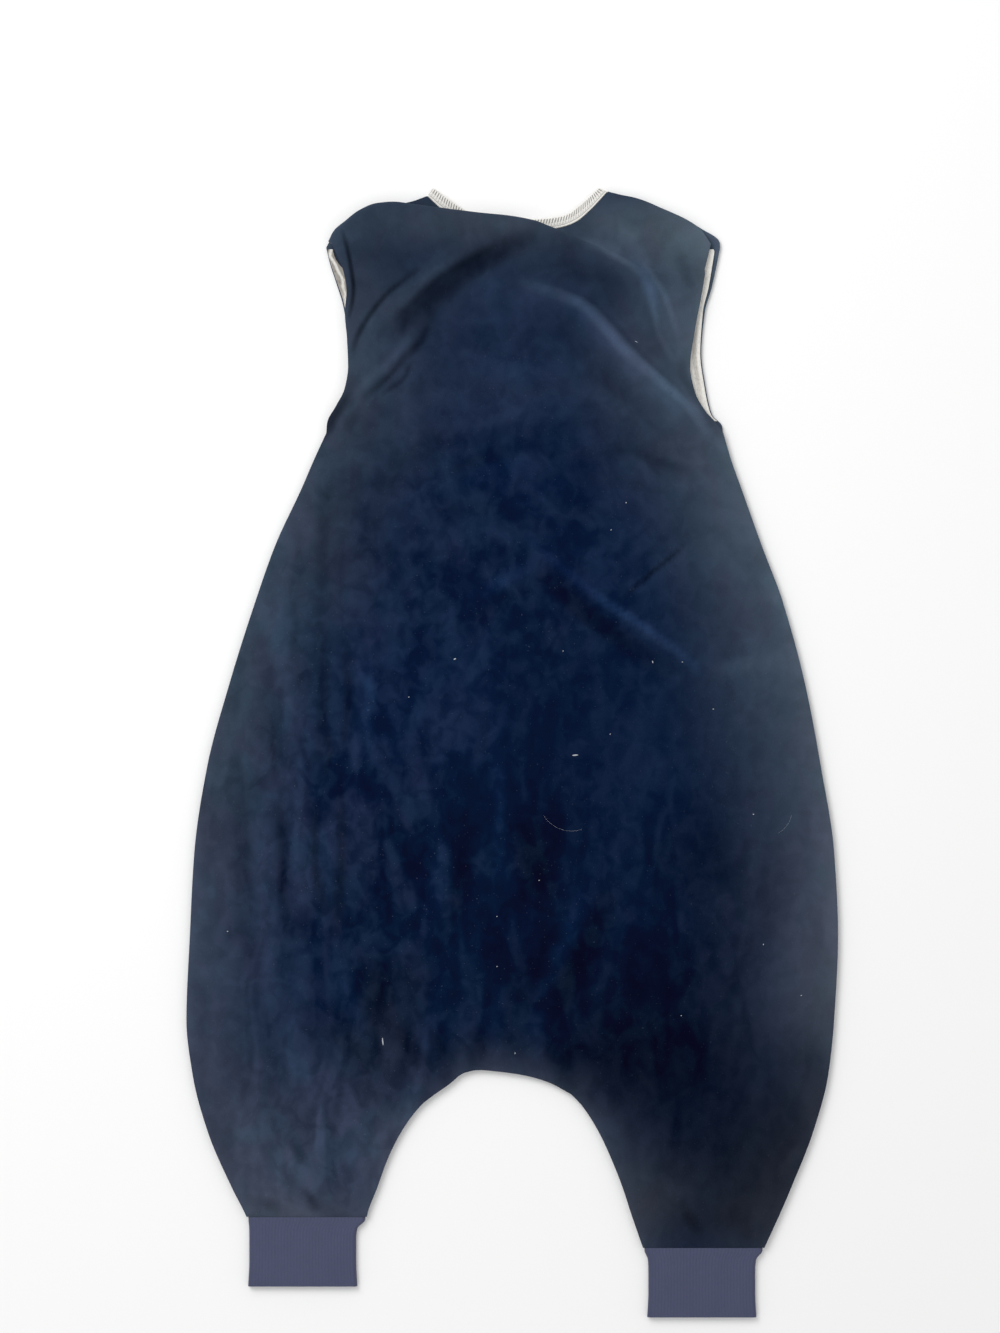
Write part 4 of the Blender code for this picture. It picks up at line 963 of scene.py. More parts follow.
@dataclass(frozen=True)
class NeckRib:
    """Pale melange band: a smooth roll, a pale strip and a ladder of fine rib."""

    name: str = "neck_rib"
    cream: Colour = (0.82, 0.8, 0.755)
    # Darkest grey, for the yarn's flecks and for painted shade
    shade: Colour = (0.23, 0.225, 0.215)
    fleck: Patches = Patches((0.8, 0.8, 0.8), 3, 0, (0.48, 0.66))
    rung: float = 2.5
    rung_edge: Spot = (0.25, 0.85)
    waver: float = 0.35
    waver_patch: Patches = Patches((3, 3, 3), 1)
    # Where each lies over the width from 0 at the seam to 1, and how soft its ends are
    groove: Size = (0.17, 0.23, 0.02)
    pale_rungs: Size = (0.28, 0.48, 0.03)
    dark_rungs: Size = (0.52, 0.92, 0.04)
    pale_strength: float = 0.45
    # Grey of the flecks, then painted shade between the raised rungs and in the sunk groove
    greys: Size = (0.25, 0.95, 0.6)
    knit: float = 0.8
    # Rise of the knit and the flecks, and depth of the groove, beside the rungs' own rise
    rises: Size = (0.25, 0.4, 0.8)
    roughness: float = 0.85
    sheen: float = 0.05
    bump: Spot = (0.35, 0.7)

    def material(self) -> Material:
        """Ladder across the band by its own length and width.

        Returns:
            The material.
        """
        g = Graph(self.name)
        along, across, _ = g.axes("UV")
        fleck = g.noise(self.fleck)
        ladder = self.pale_strength * across.within(*self.pale_rungs) + across.within(*self.dark_rungs)
        waver = self.waver * MM * (g.noise(self.waver_patch) - 0.5)
        rungs = (along + waver).ribs(self.rung).step(*self.rung_edge)
        groove = across.within(*self.groove)
        of_fleck, of_gap, of_groove = self.greys
        # Flecks are the yarn's own grey; between the rungs and in the groove the grey is painted shade
        grey = of_fleck * fleck + of_gap * ladder * (1 - rungs) + of_groove * groove
        g.set(Base_Color=g.blend(grey, self.cream, self.shade))
        g.set(Roughness=self.roughness, Sheen_Weight=self.sheen)
        knit, flecks, depth = self.rises
        g.bump(ladder * rungs + knit * along.ribs(self.knit) + flecks * fleck - depth * groove, *self.bump)
        return g.material


@dataclass(frozen=True)
class CuffRib:
    """Greyed navy rib knit, its ribs along the leg."""

    name: str = "cuff_rib"
    base: Colour = (0.048, 0.056, 0.113)
    light: Colour = (0.064, 0.073, 0.139)
    rib: float = 1.9
    course: float = 0.8
    fleck: Patches = Patches((0.6, 1.6, 0.6), 2, 0, (0.4, 0.7))
    cloud: Patches = Patches((14, 20, 14), 1)
    # Painted highlight on the raised ribs, lightness of the flecks and the clouds, then rise of the ribs and
    # the courses
    lights: Size = (0.3, 0.35, 0.5)
    rises: Spot = (0.8, 0.25)
    roughness: float = 0.85
    sheen: float = 0.08
    bump: Spot = (0.35, 0.6)

    def material(self) -> Material:
        """Ribs by the length round the cuff, courses along it.

        Returns:
            The material.
        """
        g = Graph(self.name)
        around, along, _ = g.axes("UV")
        rib, course = around.ribs(self.rib), along.ribs(self.course)
        on_rib, on_fleck, on_cloud = self.lights
        # The raised ribs get painted highlight; flecks and clouds are the yarn's own
        light = on_rib * rib + on_fleck * g.noise(self.fleck) + on_cloud * (g.noise(self.cloud) - 0.5)
        g.set(Base_Color=g.blend(light, self.base, self.light))
        g.set(Roughness=self.roughness, Sheen_Weight=self.sheen)
        g.bump(rib * self.rises[0] + course * self.rises[1], *self.bump)
        return g.material


@dataclass(frozen=True)
class ZipWeave:
    """Navy herringbone tape and moulded teeth."""

    name: str = "zip_weave"
    dark: Colour = (0.01, 0.015, 0.03)
    light: Colour = (0.022, 0.032, 0.058)
    pitch: float = 0.9
    # Pitch of the herringbone across the tape and how far its lines climb
    chevron: Spot = (3, 2)
    yarn: Patches = Patches((0.5, 0.5, 0.5))
    yarn_light: float = 0.3
    roughness: float = 0.7
    bump: Spot = (0.15, 0.6)

    def material(self) -> Material:
        """Twill lines that turn back on themselves across the tape.

        Returns:
            The material.
        """
        g = Graph(self.name)
        x, y, _ = g.axes("Object")
        across, climb = self.chevron
        twill = (y + x.ribs(across) * (climb * MM)).ribs(self.pitch)
        # The raised twill lines get painted highlight; the yarn patches are its own
        light = twill * (1 - self.yarn_light) + self.yarn_light * g.noise(self.yarn)
        g.set(Base_Color=g.blend(light, self.dark, self.light), Roughness=self.roughness)
        g.bump(twill, *self.bump)
        return g.material


@dataclass(frozen=True)
class PaintedMetal:
    """Dark lacquered zinc, worn brighter in faint rubs."""

    name: str = "zip_metal"
    lacquer: Colour = (0.035, 0.04, 0.055)
    rubbed: Colour = (0.2, 0.21, 0.23)
    rub: Patches = Patches((1.2, 4, 1.2), 3, 0, (0.56, 0.72))
    roughness: float = 0.42
    rub_polish: float = 0.12
    metallic: float = 0.6
    ripple: Patches = Patches((0.4, 0.4, 0.4))
    bump: Spot = (0.02, 0.4)

    def material(self) -> Material:
        """Lacquer with rubs that are smoother.

        Returns:
            The material.
        """
        g = Graph(self.name)
        rub = g.noise(self.rub)
        g.set(Base_Color=g.blend(rub, self.lacquer, self.rubbed), Metallic=self.metallic)
        g.set(Roughness=self.roughness - self.rub_polish * rub)
        g.bump(g.noise(self.ripple), *self.bump)
        return g.material


@dataclass(frozen=True)
class Lint:
    """Pale stray fibre."""

    name: str = "lint"
    pale: Colour = (0.58, 0.6, 0.62)
    dull: Colour = (0.24, 0.27, 0.32)
    yarn: Patches = Patches((0.8, 0.8, 0.8))
    roughness: float = 0.95

    def material(self) -> Material:
        """Uneven pale fibre.

        Returns:
            The material.
        """
        g = Graph(self.name)
        g.set(Base_Color=g.blend(g.noise(self.yarn), self.dull, self.pale), Roughness=self.roughness)
        return g.material


@dataclass(frozen=True)
class Finishes:
    """The materials of the sack, each made once."""

    velour: Material = field(default_factory=Velour().material)
    jersey: Material = field(default_factory=Jersey().material)
    neck: Material = field(default_factory=NeckRib().material)
    cuff: Material = field(default_factory=CuffRib().material)
    weave: Material = field(default_factory=ZipWeave().material)
    metal: Material = field(default_factory=PaintedMetal().material)
    lint: Material = field(default_factory=Lint().material)


@dataclass(frozen=True)
class ClothGrid:
    """Grid of points of one cloth: places and wall in millimetres, with what its finish reads.

    Where it has no weave, its finish reads the plan.
    """

    x: Array
    y: Array
    z: Array
    wall: Array
    # Tone: painted highlight and shade of creases and strips, with tone patches; haze: painted sheen
    tone: Array
    sheen_haze: Array
    brush: Values = 0.5
    weave: Array | None = None

    def build(self, name: str, plan: SackPlan, materials: list[Material], offset: float,
              soft: float = 0.9, closed: bool = False) -> Piece:
        """Make the cloth's mesh with its wall and rounded rim.

        Args:
            name: the piece's name.
            plan: the sack's plan, for its middle.
            materials: the outer finish, and the inner one where it differs.
            offset: where the wall lies, from -1 under the points to 1 over them.
            soft: width of the rounded rim in millimetres.
            closed: whether the first and the last column meet.

        Returns:
            The piece.
        """
        rows, columns = self.x.shape[0] - 1, self.x.shape[1] - 1
        thickest = float(np.nanmax(self.wall))
        bm = bmesh.new()
        bmesh.ops.create_grid(bm, x_segments=columns, y_segments=rows, size=0.5)
        walls = bm.verts.layers.deform.verify()
        tones = bm.verts.layers.float.new("tone")
        sheen_hazes = bm.verts.layers.float.new("sheen_haze")
        brushes = bm.verts.layers.float.new("brush")
        brush = self.brush + 0 * self.x
        uv = bm.loops.layers.uv.new("weave")
        weave = np.stack([self.x, self.y], -1) if self.weave is None else self.weave
        where = {}
        outside = []
        for vert in bm.verts:
            j, i = round((vert.co.y + 0.5) * rows), round((vert.co.x + 0.5) * columns)
            if math.isnan(self.x[j, i]):
                outside.append(vert)
                continue
            where[vert] = (j, i)
            vert.co = plan.place(self.x[j, i], self.y[j, i], self.z[j, i])
            vert[walls][0] = self.wall[j, i] / thickest
            vert[tones] = self.tone[j, i]
            vert[sheen_hazes] = self.sheen_haze[j, i]
            vert[brushes] = brush[j, i]
        for face in bm.faces:
            for loop in face.loops:
                if loop.vert in where:
                    loop[uv].uv = weave[where[loop.vert]] * MM
        bmesh.ops.delete(bm, geom=outside, context="VERTS")
        bm.normal_update()
        if closed:
            bmesh.ops.remove_doubles(bm, verts=bm.verts, dist=WELD * MM)
            bmesh.ops.recalc_face_normals(bm, faces=bm.faces)
        elif sum(face.calc_area() * face.normal.z for face in bm.faces) < 0:
            bmesh.ops.reverse_faces(bm, faces=bm.faces)
        obj = finish_mesh(name, bm, materials)
        obj.vertex_groups.new(name="wall")
        solid = obj.modifiers.new("Wall", "SOLIDIFY")
        solid.thickness = thickest * MM
        solid.offset = offset
        solid.vertex_group = "wall"
        solid.material_offset = len(materials) - 1
        rim = obj.modifiers.new("Rounded rim", "BEVEL")
        rim.width = soft * MM
        rim.segments = 2
        rim.limit_method = "ANGLE"
        rim.angle_limit = SHARP
        return obj


def finish_mesh(name: str, bm: bmesh.types.BMesh, materials: list[Material]) -> Piece:
    """Turn a bmesh into a smooth object of the scene.

    Args:
        name: the piece's name.
        bm: its mesh, which is freed.
        materials: its finishes, in the order of their slots.

    Returns:
        The object, at the origin.
    """
    mesh = bpy.data.meshes.new(name)
    bm.to_mesh(mesh)
    bm.free()
    for material in materials:
        mesh.materials.append(material)
    mesh.shade_smooth()
    obj = bpy.data.objects.new(name, mesh)
    bpy.context.scene.collection.objects.link(obj)
    return obj


def soften(bm: bmesh.types.BMesh, edges: list[bmesh.types.BMEdge], width: float, segments: int) -> None:
    """Bevel some edges, by a width in millimetres."""
    bmesh.ops.bevel(bm, geom=edges, offset=width * MM, segments=segments, profile=0.5, affect="EDGES",
                    material=-1)


@dataclass(frozen=True)
class Cut:
    """The flat cloth that a piece was cut from, in metres, and how it is held."""

    flat: tuple[float, float]
    area: float | None
    held: str
    rests_on: tuple[str, ...]


def declare(piece: Piece, nodes: tuple[str, ...],
            body: str = BODY) -> Piece:
    """Attach a piece to the body that it rides on and hide the solids that it stands for.

    Args:
        piece: the piece.
        nodes: solids that it stands for.
        body: the body that it rides on.

    Returns:
        The same piece.
    """
    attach(piece, body)
    if nodes:
        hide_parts(*nodes)
    return piece


@dataclass(frozen=True)
class BackPanel:
    """The back with both legs, slumped over its neck: the face that shows."""

    plan: SackPlan
    levels: ClothLevels
    relief: Relief = BACK_RELIEF
    fine: int = 6
    leg_rows: int = 30
    body_rows: int = 146
    yoke_rows: int = 60
    arc_steps: int = 8
    run_steps: int = 5
    hem_steps: int = 5
    hem_level: float = 0.78
    long_hem: float = 30
    slump_reach: float = 80
    station_width: float = 12
    # Painted sheen of the two sides, then of the arch and the inseams: at the edge, its fade, further in, its
    # reach
    side_sheen: Rows = ((0.3, 8, 0.96, 66), (1, 12, 1.28, 64))
    arch_sheen: tuple[float, ...] = (0.55, 8, 0.38, 25)
    # How much of the right side's painted sheen the right leg loses, and where
    leg_shade: float = 0.62
    leg_shade_y: float = -190
    leg_shade_reach: float = 90
    # Patches brushed into the nap: middle, half sizes and strength
    brushed: Rows = (
        (-140, -60, 110, 220, 0.65), (0, 150, 110, 150, 0.45), (30, -150, 150, 130, 0.5),
        (-175, -330, 80, 70, 0.45),
    )
    calm: float = 0.35
    # How strongly the painted shade of the troughs dims the painted sheen
    trough_shade: float = 1.3
    least_haze: float = -0.07
    cut: Cut = Cut((0.57, 0.96), 0.4, "laid", ("front_panel_left", "front_panel_right"))

    def height(self, x: Values, y: Values, edge: Values, armhole: Values, bumps: Values) -> Array:
        """Middle of the wall: seam level at an edge, domed and creased inside it.

        Args:
            x: places across the sack.
            y: places along the sack.
            edge: distances from the nearest edge.
            armhole: 1 beside an armhole and 0 beside a seam.
            bumps: rise of the creases and ripples.

        Returns:
            Levels in millimetres.
        """
        lv = self.levels
        level = mix(lv.seam_level, lv.armhole_level, armhole)
        dome = 1 - (1 - np.minimum(edge / lv.dome_reach, 1)) ** lv.dome_power
        domed = mix(level, lv.back_level, dome)
        high = domed + bumps * ease(edge / lv.crease_reach)
        over_zip = (np.abs(x - self.plan.centre_x(y)) < lv.zip_strip) & (y > self.plan.zip_end)
        lowest = np.where(over_zip, lv.lowest_over_zip, lv.lowest)
        return np.maximum(np.maximum(high, np.minimum(lowest, domed)), level)

    def legs(self, station: Array) -> tuple[Array, ...]:
        """Rows of both legs, with nothing between them.

        Args:
            station: the columns' stations.

        Returns:
            Places across and along the sack, distances from the nearest edge, and walls.
        """
        plan = self.plan
        share = np.arange(self.leg_rows)[:, None] / self.leg_rows
        left, right = station <= plan.leg_stations, station >= plan.stations - plan.leg_stations
        y = np.where(left, mix(plan.hems[0], plan.split, share), mix(plan.hems[1], plan.split, share))
        outer = np.where(left, *[plan.side_x(y, side) for side in Side])
        inner = np.where(left, *[plan.inseam_x(y, side) for side in Side])
        across = np.where(left, station, plan.stations - station) / plan.leg_stations
        x = np.where(left | right, mix(outer, inner, across), np.nan)
        edge = np.minimum(across, 1 - across) * np.abs(outer - inner)
        from_hem = y - np.where(left, *plan.hems)
        return x, y, edge, self.levels.wall(np.minimum(edge, from_hem), self.levels.back)

    def body(self, station: Array) -> tuple[Array, ...]:
        """Rows between the legs' parting and the underarms.

        Args:
            station: the columns' stations.

        Returns:
            Places across and along the sack, distances from the nearest edge, and walls.
        """
        plan = self.plan
        share = np.arange(self.body_rows)[:, None] / self.body_rows
        low, high = plan.sides.at(plan.split)
        first, last = [(plan.parting(side)[0] - low) / (high - low) for side in Side]
        leg, count = plan.leg_stations, plan.stations
        parted = np.where(station <= leg, first * station / leg,
                          mix(first, last, (station - leg) / (count - 2 * leg)))
        parted = np.where(station >= count - leg, mix(1, last, (count - station) / leg), parted)
        y = mix(plan.split, plan.underarm, share) + 0 * station
        left, right = [plan.side_x(y, side) for side in Side]
        x = mix(left, right, mix(parted, station / count, ease(share)))
        arch = plan.crotch_y(mix(low, high, parted)) - plan.split
        between = (station > leg) & (station < count - leg)
        y = y + np.where(between, arch, 0) * (1 - share) ** plan.arch_fade
        edge = np.minimum(np.minimum(x - left, right - x), plan.arch_distance(x, y))
        return x, y, edge, self.levels.wall(edge, self.levels.back)

    def yoke(self, station: Array, fold: SlumpFold) -> tuple[Array, ...]:
        """Rows between the underarms and the fold.

        Args:
            station: the columns' stations.
            fold: the fold's sections at them.

        Returns:
            Places across and along the sack, distances from the nearest edge, and walls.
        """
        plan = self.plan
        u = (station / plan.stations)[:, None]
        low, high = plan.sides.at(plan.underarm)
        bottom = np.hstack([mix(low, high, u), np.full_like(u, plan.underarm)])
        rows = []
        for v in np.arange(self.yoke_rows) / self.yoke_rows:
            ends = [armhole.at(v) + (corner - armhole.at(1)) * ease(v)
                    for armhole, corner in zip(plan.back_armholes, (fold.start[0], fold.start[-1]))]
            corners = mix(mix(bottom[0], bottom[-1], u), mix(fold.start[0], fold.start[-1], u), v)
            spots = mix(*ends, u) + mix(bottom, fold.start, v) - corners
            edge = np.maximum(np.minimum(spots[:, 0] - ends[0][0], ends[1][0] - spots[:, 0]), 0)
            rows.append((spots[:, 0], spots[:, 1], edge))
        x, y, edge = (np.array(part) for part in zip(*rows))
        to_fold = np.hypot(x - fold.start[:, 0], y - fold.start[:, 1])
        full = mix(self.levels.fold, self.levels.back, ease(to_fold / self.levels.seam_reach))
        return x, y, edge, self.levels.wall(edge, full)

    def folded(self, station: Array, fold: SlumpFold) -> tuple[Array, ...]:
        """Rows of the fold and of the hem that runs from it to the seam.

        Args:
            station: the columns' stations.
            fold: the fold's sections at them.

        Returns:
            Places across and along the sack, levels and walls.
        """
        arc = np.linspace(0, fold.ARC, self.arc_steps, endpoint=False)
        run = np.linspace(fold.ARC, 1 - fold.ARC, self.run_steps, endpoint=False)
        shares = [*arc, *run, *np.linspace(1 - fold.ARC, 1, self.arc_steps + 1)]
        edge = np.minimum(station, self.plan.stations - station) * self.station_width
        thick = self.levels.wall(edge, self.levels.fold)
        rows = []
        for share in shares:
            spots, level = fold.point(share)
            rows.append((spots[:, 0], spots[:, 1], level, thick))
        last, low = fold.point(1)
        length = np.hypot(*(last - fold.end).T)
        settle = mix(self.hem_level, 1, ease(length / self.long_hem))
        for step in range(1, self.hem_steps + 1):
            share = step / self.hem_steps
            spots = mix(last, fold.end, share)
            rows.append((spots[:, 0], spots[:, 1], mix(low, fold.seam, ease(share / settle)),
                         mix(thick, self.levels.seam, share)))
        return tuple(np.array(part) for part in zip(*rows))

    def sheen_haze(self, x: Array, y: Array) -> Array:
        """Painted sheen: greyer cloth towards the sides, the armholes and the crotch, where the cloth slopes
        away.

        Args:
            x: places across the sack.
            y: places along the sack.

        Returns:
            Painted sheen haze from nought up.
        """
        plan = self.plan
        inseams = [np.abs(x - plan.inseam_x(y, side)) for side in Side]
        gaps = [np.where(y < plan.split, np.minimum(*inseams), plan.arch_distance(x, y))]
        for side in Side:
            top = plan.back_armholes[side.value]
            climb = np.clip((y - plan.underarm) / (top.rows[-1][2] - plan.underarm), 0, 1)
            line = np.where(y < plan.underarm, plan.side_x(y, side), top.at(climb)[..., 0])
            gaps.append(np.maximum(-side.sign * (x - line), 0))
        glows = [edge * np.exp(-gap / fade) + broad * np.exp(-(gap / reach) ** 2)
                 for gap, (edge, fade, broad, reach) in zip(gaps, (self.arch_sheen, *self.side_sheen))]
        shaded = 1 - self.leg_shade * ease((self.leg_shade_y - y) / self.leg_shade_reach)
        return glows[0] + glows[1] + glows[2] * shaded

    def brush(self, x: Array, y: Array) -> Array:
        """Strength of the brushed patches."""
        return self.calm + sum(amount * patch(x, y, *sizes) for *sizes, amount in self.brushed)

    def grid(self) -> ClothGrid:
        """All the rows in one grid.

        Returns:
            The panel's grid.
        """
        plan, levels = self.plan, self.levels
        station = np.arange(plan.stations * self.fine + 1) / self.fine
        fold = SlumpFold.at(plan, levels, station)
        zones = (self.legs(station), self.body(station), self.yoke(station, fold))
        x, y, edge, wall = (np.vstack(parts) for parts in zip(*zones))
        over_x, over_y, over_z, over_wall = self.folded(station, fold)
        rise, dark, tone, sheen_haze = self.relief.fields(np.vstack([x, over_x]), np.vstack([y, over_y]))
        armhole = ease((y - plan.underarm) / levels.armhole_reach)
        z = self.height(x, y, edge, armhole, rise[:len(x)])
        from_hem = y - np.where(station <= plan.leg_stations, *plan.hems)
        z = mix(levels.seam_level, z, ease(from_hem / levels.hem_reach))
        yoke = slice(self.leg_rows + self.body_rows, None)
        start_x, start_y = fold.start.T
        start_rise = self.relief.fields(start_x, start_y)[0]
        at_fold = self.height(start_x, start_y, edge[yoke], armhole[yoke], start_rise)
        to_fold = np.hypot(x[yoke] - start_x, y[yoke] - start_y)
        z[yoke] += (fold.low + fold.rise - at_fold) * (1 - ease(to_fold / self.slump_reach))
        x, y, z = np.vstack([x, over_x]), np.vstack([y, over_y]), np.vstack([z, over_z])
        # Painted shade: troughs dim the painted sheen, and the dark creases join the tone
        sheen_haze = (sheen_haze + self.sheen_haze(x, y)) * 2 ** (self.trough_shade * dark) + self.least_haze
        return ClothGrid(x, y, z, np.vstack([wall, over_wall]), tone + dark, sheen_haze, self.brush(x, y))

    def make(self, finishes: Finishes) -> Piece:
        piece = self.grid().build("back_velour", self.plan, [finishes.velour, finishes.jersey], 0)
        return declare(piece, ("back_panel",))


@dataclass(frozen=True)
class FrontPanel:
    """One front with its leg, flat on the surface beside the zip."""

    plan: SackPlan
    levels: ClothLevels
    side: Side
    relief: Relief = FRONT_RELIEF
    columns: int = 14
    leg_columns: int = 11
    fine: int = 4
    leg_rows: int = 28
    body_rows: int = 112
    yoke_rows: int = 54
    # Painted sheen over the whole panel
    sheen_haze: float = 0.25
    # Painted sheen beside every edge and beside each armhole, with its fade
    edge_sheen: Spot = (0.6, 30)
    roll_sheen: tuple[Spot, Spot] = ((0.9, 10), (1.25, 12))
    # How far the points under the neck's corner are eased outward, and over how many rows and columns
    corner_ease: Size = (1.4, 6, 4)
    cut: Cut = Cut((0.29, 0.92), 0.19, "laid", ())

    def legs(self, station: Array) -> tuple[Array, Array, Array]:
        """Rows of the leg.

        Args:
            station: the columns' stations.

        Returns:
            Places across and along the sack, and distances from the nearest edge.
        """
        plan, side = self.plan, self.side
        share = np.arange(self.leg_rows)[:, None] / self.leg_rows
        hem = plan.hems[side.value]
        y = mix(hem, plan.split, share) + 0 * station
        inseam = plan.inseam_x(y, side)
        x = mix(plan.side_x(y, side), inseam, station / self.leg_columns)
        x = np.where(station > self.leg_columns, np.nan, x)
        return x, y, np.minimum(y - hem, np.abs(x - inseam))

    def body(self, station: Array) -> tuple[Array, Array, Array]:
        """Rows up to the underarm.

        Args:
            station: the columns' stations.

        Returns:
            Places across and along the sack, and distances from the nearest edge.
        """
        plan, side = self.plan, self.side
        share = np.arange(self.body_rows)[:, None] / self.body_rows
        y = mix(plan.split, plan.underarm, share) + 0 * station
        outer = plan.side_x(y, side)
        middle = plan.centre_x(y) + side.sign * plan.slot(y)
        low = plan.side_x(plan.split, side)
        corner = (plan.parting(side)[0] - low) / (plan.centre_x(plan.split) - low)
        inner = (station - self.leg_columns) / (self.columns - self.leg_columns)
        parted = np.where(station <= self.leg_columns, corner * station / self.leg_columns,
                          mix(corner, 1, inner))
        x = mix(outer, middle, mix(parted, station / self.columns, ease(share)))
        arch = np.where(station > self.leg_columns, plan.crotch_y(x) - plan.split, 0)
        y = y + arch * (1 - share) ** plan.arch_fade
        return x, y, plan.arch_distance(x, y)

    def yoke(self, station: Array) -> tuple[Array, Array, Array]:
        """Rows up to the shoulder.

        Args:
            station: the columns' stations.

        Returns:
            Places across and along the sack, and distances from the nearest edge.
        """
        plan, side = self.plan, self.side
        u = (station / self.columns)[:, None]
        armhole, shoulder = plan.front_armholes[side.value], plan.front_shoulders[side.value]
        over = shoulder.at(np.minimum(u[:, 0] * 2, 1))
        top = np.where(u <= 0.5, over, plan.front_neck(side, np.clip(2 - u[:, 0] * 2, 0, 1), 0))
        outer = plan.side_x(plan.underarm, side)
        inner = plan.centre_x(plan.underarm) + side.sign * plan.slot_half
        bottom = np.hstack([mix(outer, inner, u), np.full_like(u, plan.underarm)])
        shift, ease_rows, ease_columns = self.corner_ease
        beyond = (self.columns / 2 - station) * self.fine / ease_columns
        near = side.sign * shift * np.where(beyond < 0, 0, np.maximum(1 - beyond, 0))
        rows = []
        for v in np.arange(self.yoke_rows + 1) / self.yoke_rows:
            y = mix(plan.underarm, plan.neck_bottom(side)[1], v)
            zip_edge = np.array([plan.centre_x(y) + side.sign * plan.slot_half, y])
            corners = mix(mix(bottom[0], bottom[-1], u), mix(top[0], top[-1], u), v)
            spots = mix(armhole.at(v), zip_edge, u) + mix(bottom, top, v) - corners
            under = min((1 - v) * self.yoke_rows / ease_rows, 1)
            spots[:, 0] += near * 4 * under * (1 - under)
            upper = np.hypot(*(spots - top).T)
            rows.append((*spots.T, np.minimum(upper, np.abs(spots[:, 0] - armhole.at(v)[0]))))
        return tuple(np.array(part) for part in zip(*rows))

    def grid(self) -> ClothGrid:
        """All the rows in one grid, with shallow troughs in the underside and painted shade along them.

        Returns:
            The panel's grid.
        """
        station = np.arange(self.columns * self.fine + 1) / self.fine
        zones = (self.legs(station), self.body(station), self.yoke(station))
        x, y, edge = (np.vstack(parts) for parts in zip(*zones))
        beside = np.abs(x - self.plan.side_x(y, self.side))
        edge = np.where(y < self.plan.underarm, np.minimum(edge, beside), edge)
        rise, dark, _, _ = self.relief.fields(x, y)
        rise = np.maximum(rise, 0) * ease(edge / self.levels.crease_reach)
        wall = self.levels.wall(edge, self.levels.front) - rise
        sheen_haze = self.sheen_haze + self.edge_sheen[0] * np.exp(-edge / self.edge_sheen[1])
        amount, fade = self.roll_sheen[self.side.value]
        sheen_haze += amount * np.exp(-edge / fade) * (y > self.plan.underarm)
        return ClothGrid(x, y, rise, wall, dark, sheen_haze)

    def make(self, finishes: Finishes) -> None:
        piece = self.grid().build(f"front_velour_{self.side.word}", self.plan, [finishes.velour], 1)
        declare(piece, (f"front_panel_{self.side.word}",))


@dataclass(frozen=True)
class ArmholeLining:
    """The strip of pale lining that shows inside one armhole."""

    plan: SackPlan
    levels: ClothLevels
    side: Side
    columns: int = 12
    rows: int = 84
    back_points: int = 60
    width: float = 24
    tip_width: float = 5
    taper_y: float = 390
    taper_reach: float = 40
    wall: float = 0.8
    soft: float = 0.25
    span: Spot = (0.07, 0.99)
    turn_y: float = 350
    turn_reach: float = 100
    insets: tuple[Spot, Spot] = ((1.6, 0.4), (1, 4.4))
    # Share of the length whose outer corner is rounded, and by how much
    rounded: Spot = (0.03, 1.2)
    # The crease down its middle: inset, half width, and the share of the length that it runs over
    crease: tuple[float, ...] = (5, 1.5, 0.1, 0.62)
    # How it tapers at its ends, its depth and how much painted shade darkens it
    crease_taper: float = 0.6
    crease_depth: float = 0.25
    crease_shade: float = 0.75
    # Painted shade over each side's strip, from -1 to 0, deepest on the left where the back's edge shades it
    shades: Spot = (-0.78, -0.02)
    # The paler rim beside the back: strength on each side, then its place and half width
    rims: Spot = (0.8, 0)
    rim_at: float = -0.9
    rim_half: float = 1.4
    # Waves of the rim: half height, radians a millimetre and shift
    waver: tuple[Size, ...] = ((0.5, 0.21, 0), (0.4, 0.47, 1))
    cut: Cut = Cut((0.022, 0.165), None, "laid", ())

    def back_edge(self, y: Array) -> Array:
        """Edge of the back over the strip, at heights along the sack."""
        edge = self.plan.back_armholes[self.side.value].at(np.linspace(0, 1, self.back_points))
        return np.interp(y, edge[:, 1], edge[:, 0])

    def grid(self) -> ClothGrid:
        """Rows along the armhole, on the front panel's wall.

        Returns:
            The strip's grid.
        """
        share = np.linspace(0, 1, self.rows + 1)[:, None]
        across = np.linspace(0, 1, self.columns + 1)
        low, high = self.insets[self.side.value]
        edge = self.plan.front_armholes[self.side.value].at(mix(*self.span, share[:, 0]))
        first = mix(low, high, ease((edge[:, 1:] - self.turn_y) / self.turn_reach))
        end = np.clip(1 - (1 - share) / self.rounded[0], 0, 1)
        width = mix(self.width, self.tip_width, ease((edge[:, 1:] - self.taper_y) / self.taper_reach))
        inset = first + self.rounded[1] * (1 - np.sqrt(1 - end ** 2)) * (1 - across) + width * across
        x = edge[:, :1] - self.side.sign * inset
        y = edge[:, 1:] + 0 * across
        at, half, start, stop = self.crease
        run = np.sin(math.pi * np.clip((share - start) / (stop - start), 0, 1)) ** self.crease_taper
        dent = np.exp(-((inset - first - at) / half) ** 2) * run
        z = self.levels.wall(inset, self.levels.front) + self.levels.gap + self.crease_depth * (1 - dent)
        waver = sum(height * np.sin(rate * y + shift) for height, rate, shift in self.waver)
        inside = self.side.sign * (self.back_edge(y) - x) - self.rim_at + waver
        rim = np.exp(-(inside / self.rim_half) ** 4)
        # Tone: painted shade over the strip and in its crease, lifted by the paler rim
        tone = self.shades[self.side.value] - self.crease_shade * dent + self.rims[self.side.value] * rim
        return ClothGrid(x, y, z, np.full_like(x, self.wall), tone, np.zeros_like(x))

    def make(self, finishes: Finishes) -> None:
        """Args:
            finishes: the sack's materials.
        """
        name = f"armhole_lining_{self.side.word}"
        piece = self.grid().build(name, self.plan, [finishes.jersey], 1, self.soft)
        declare(piece, (f"front_lining_{self.side.word}",))


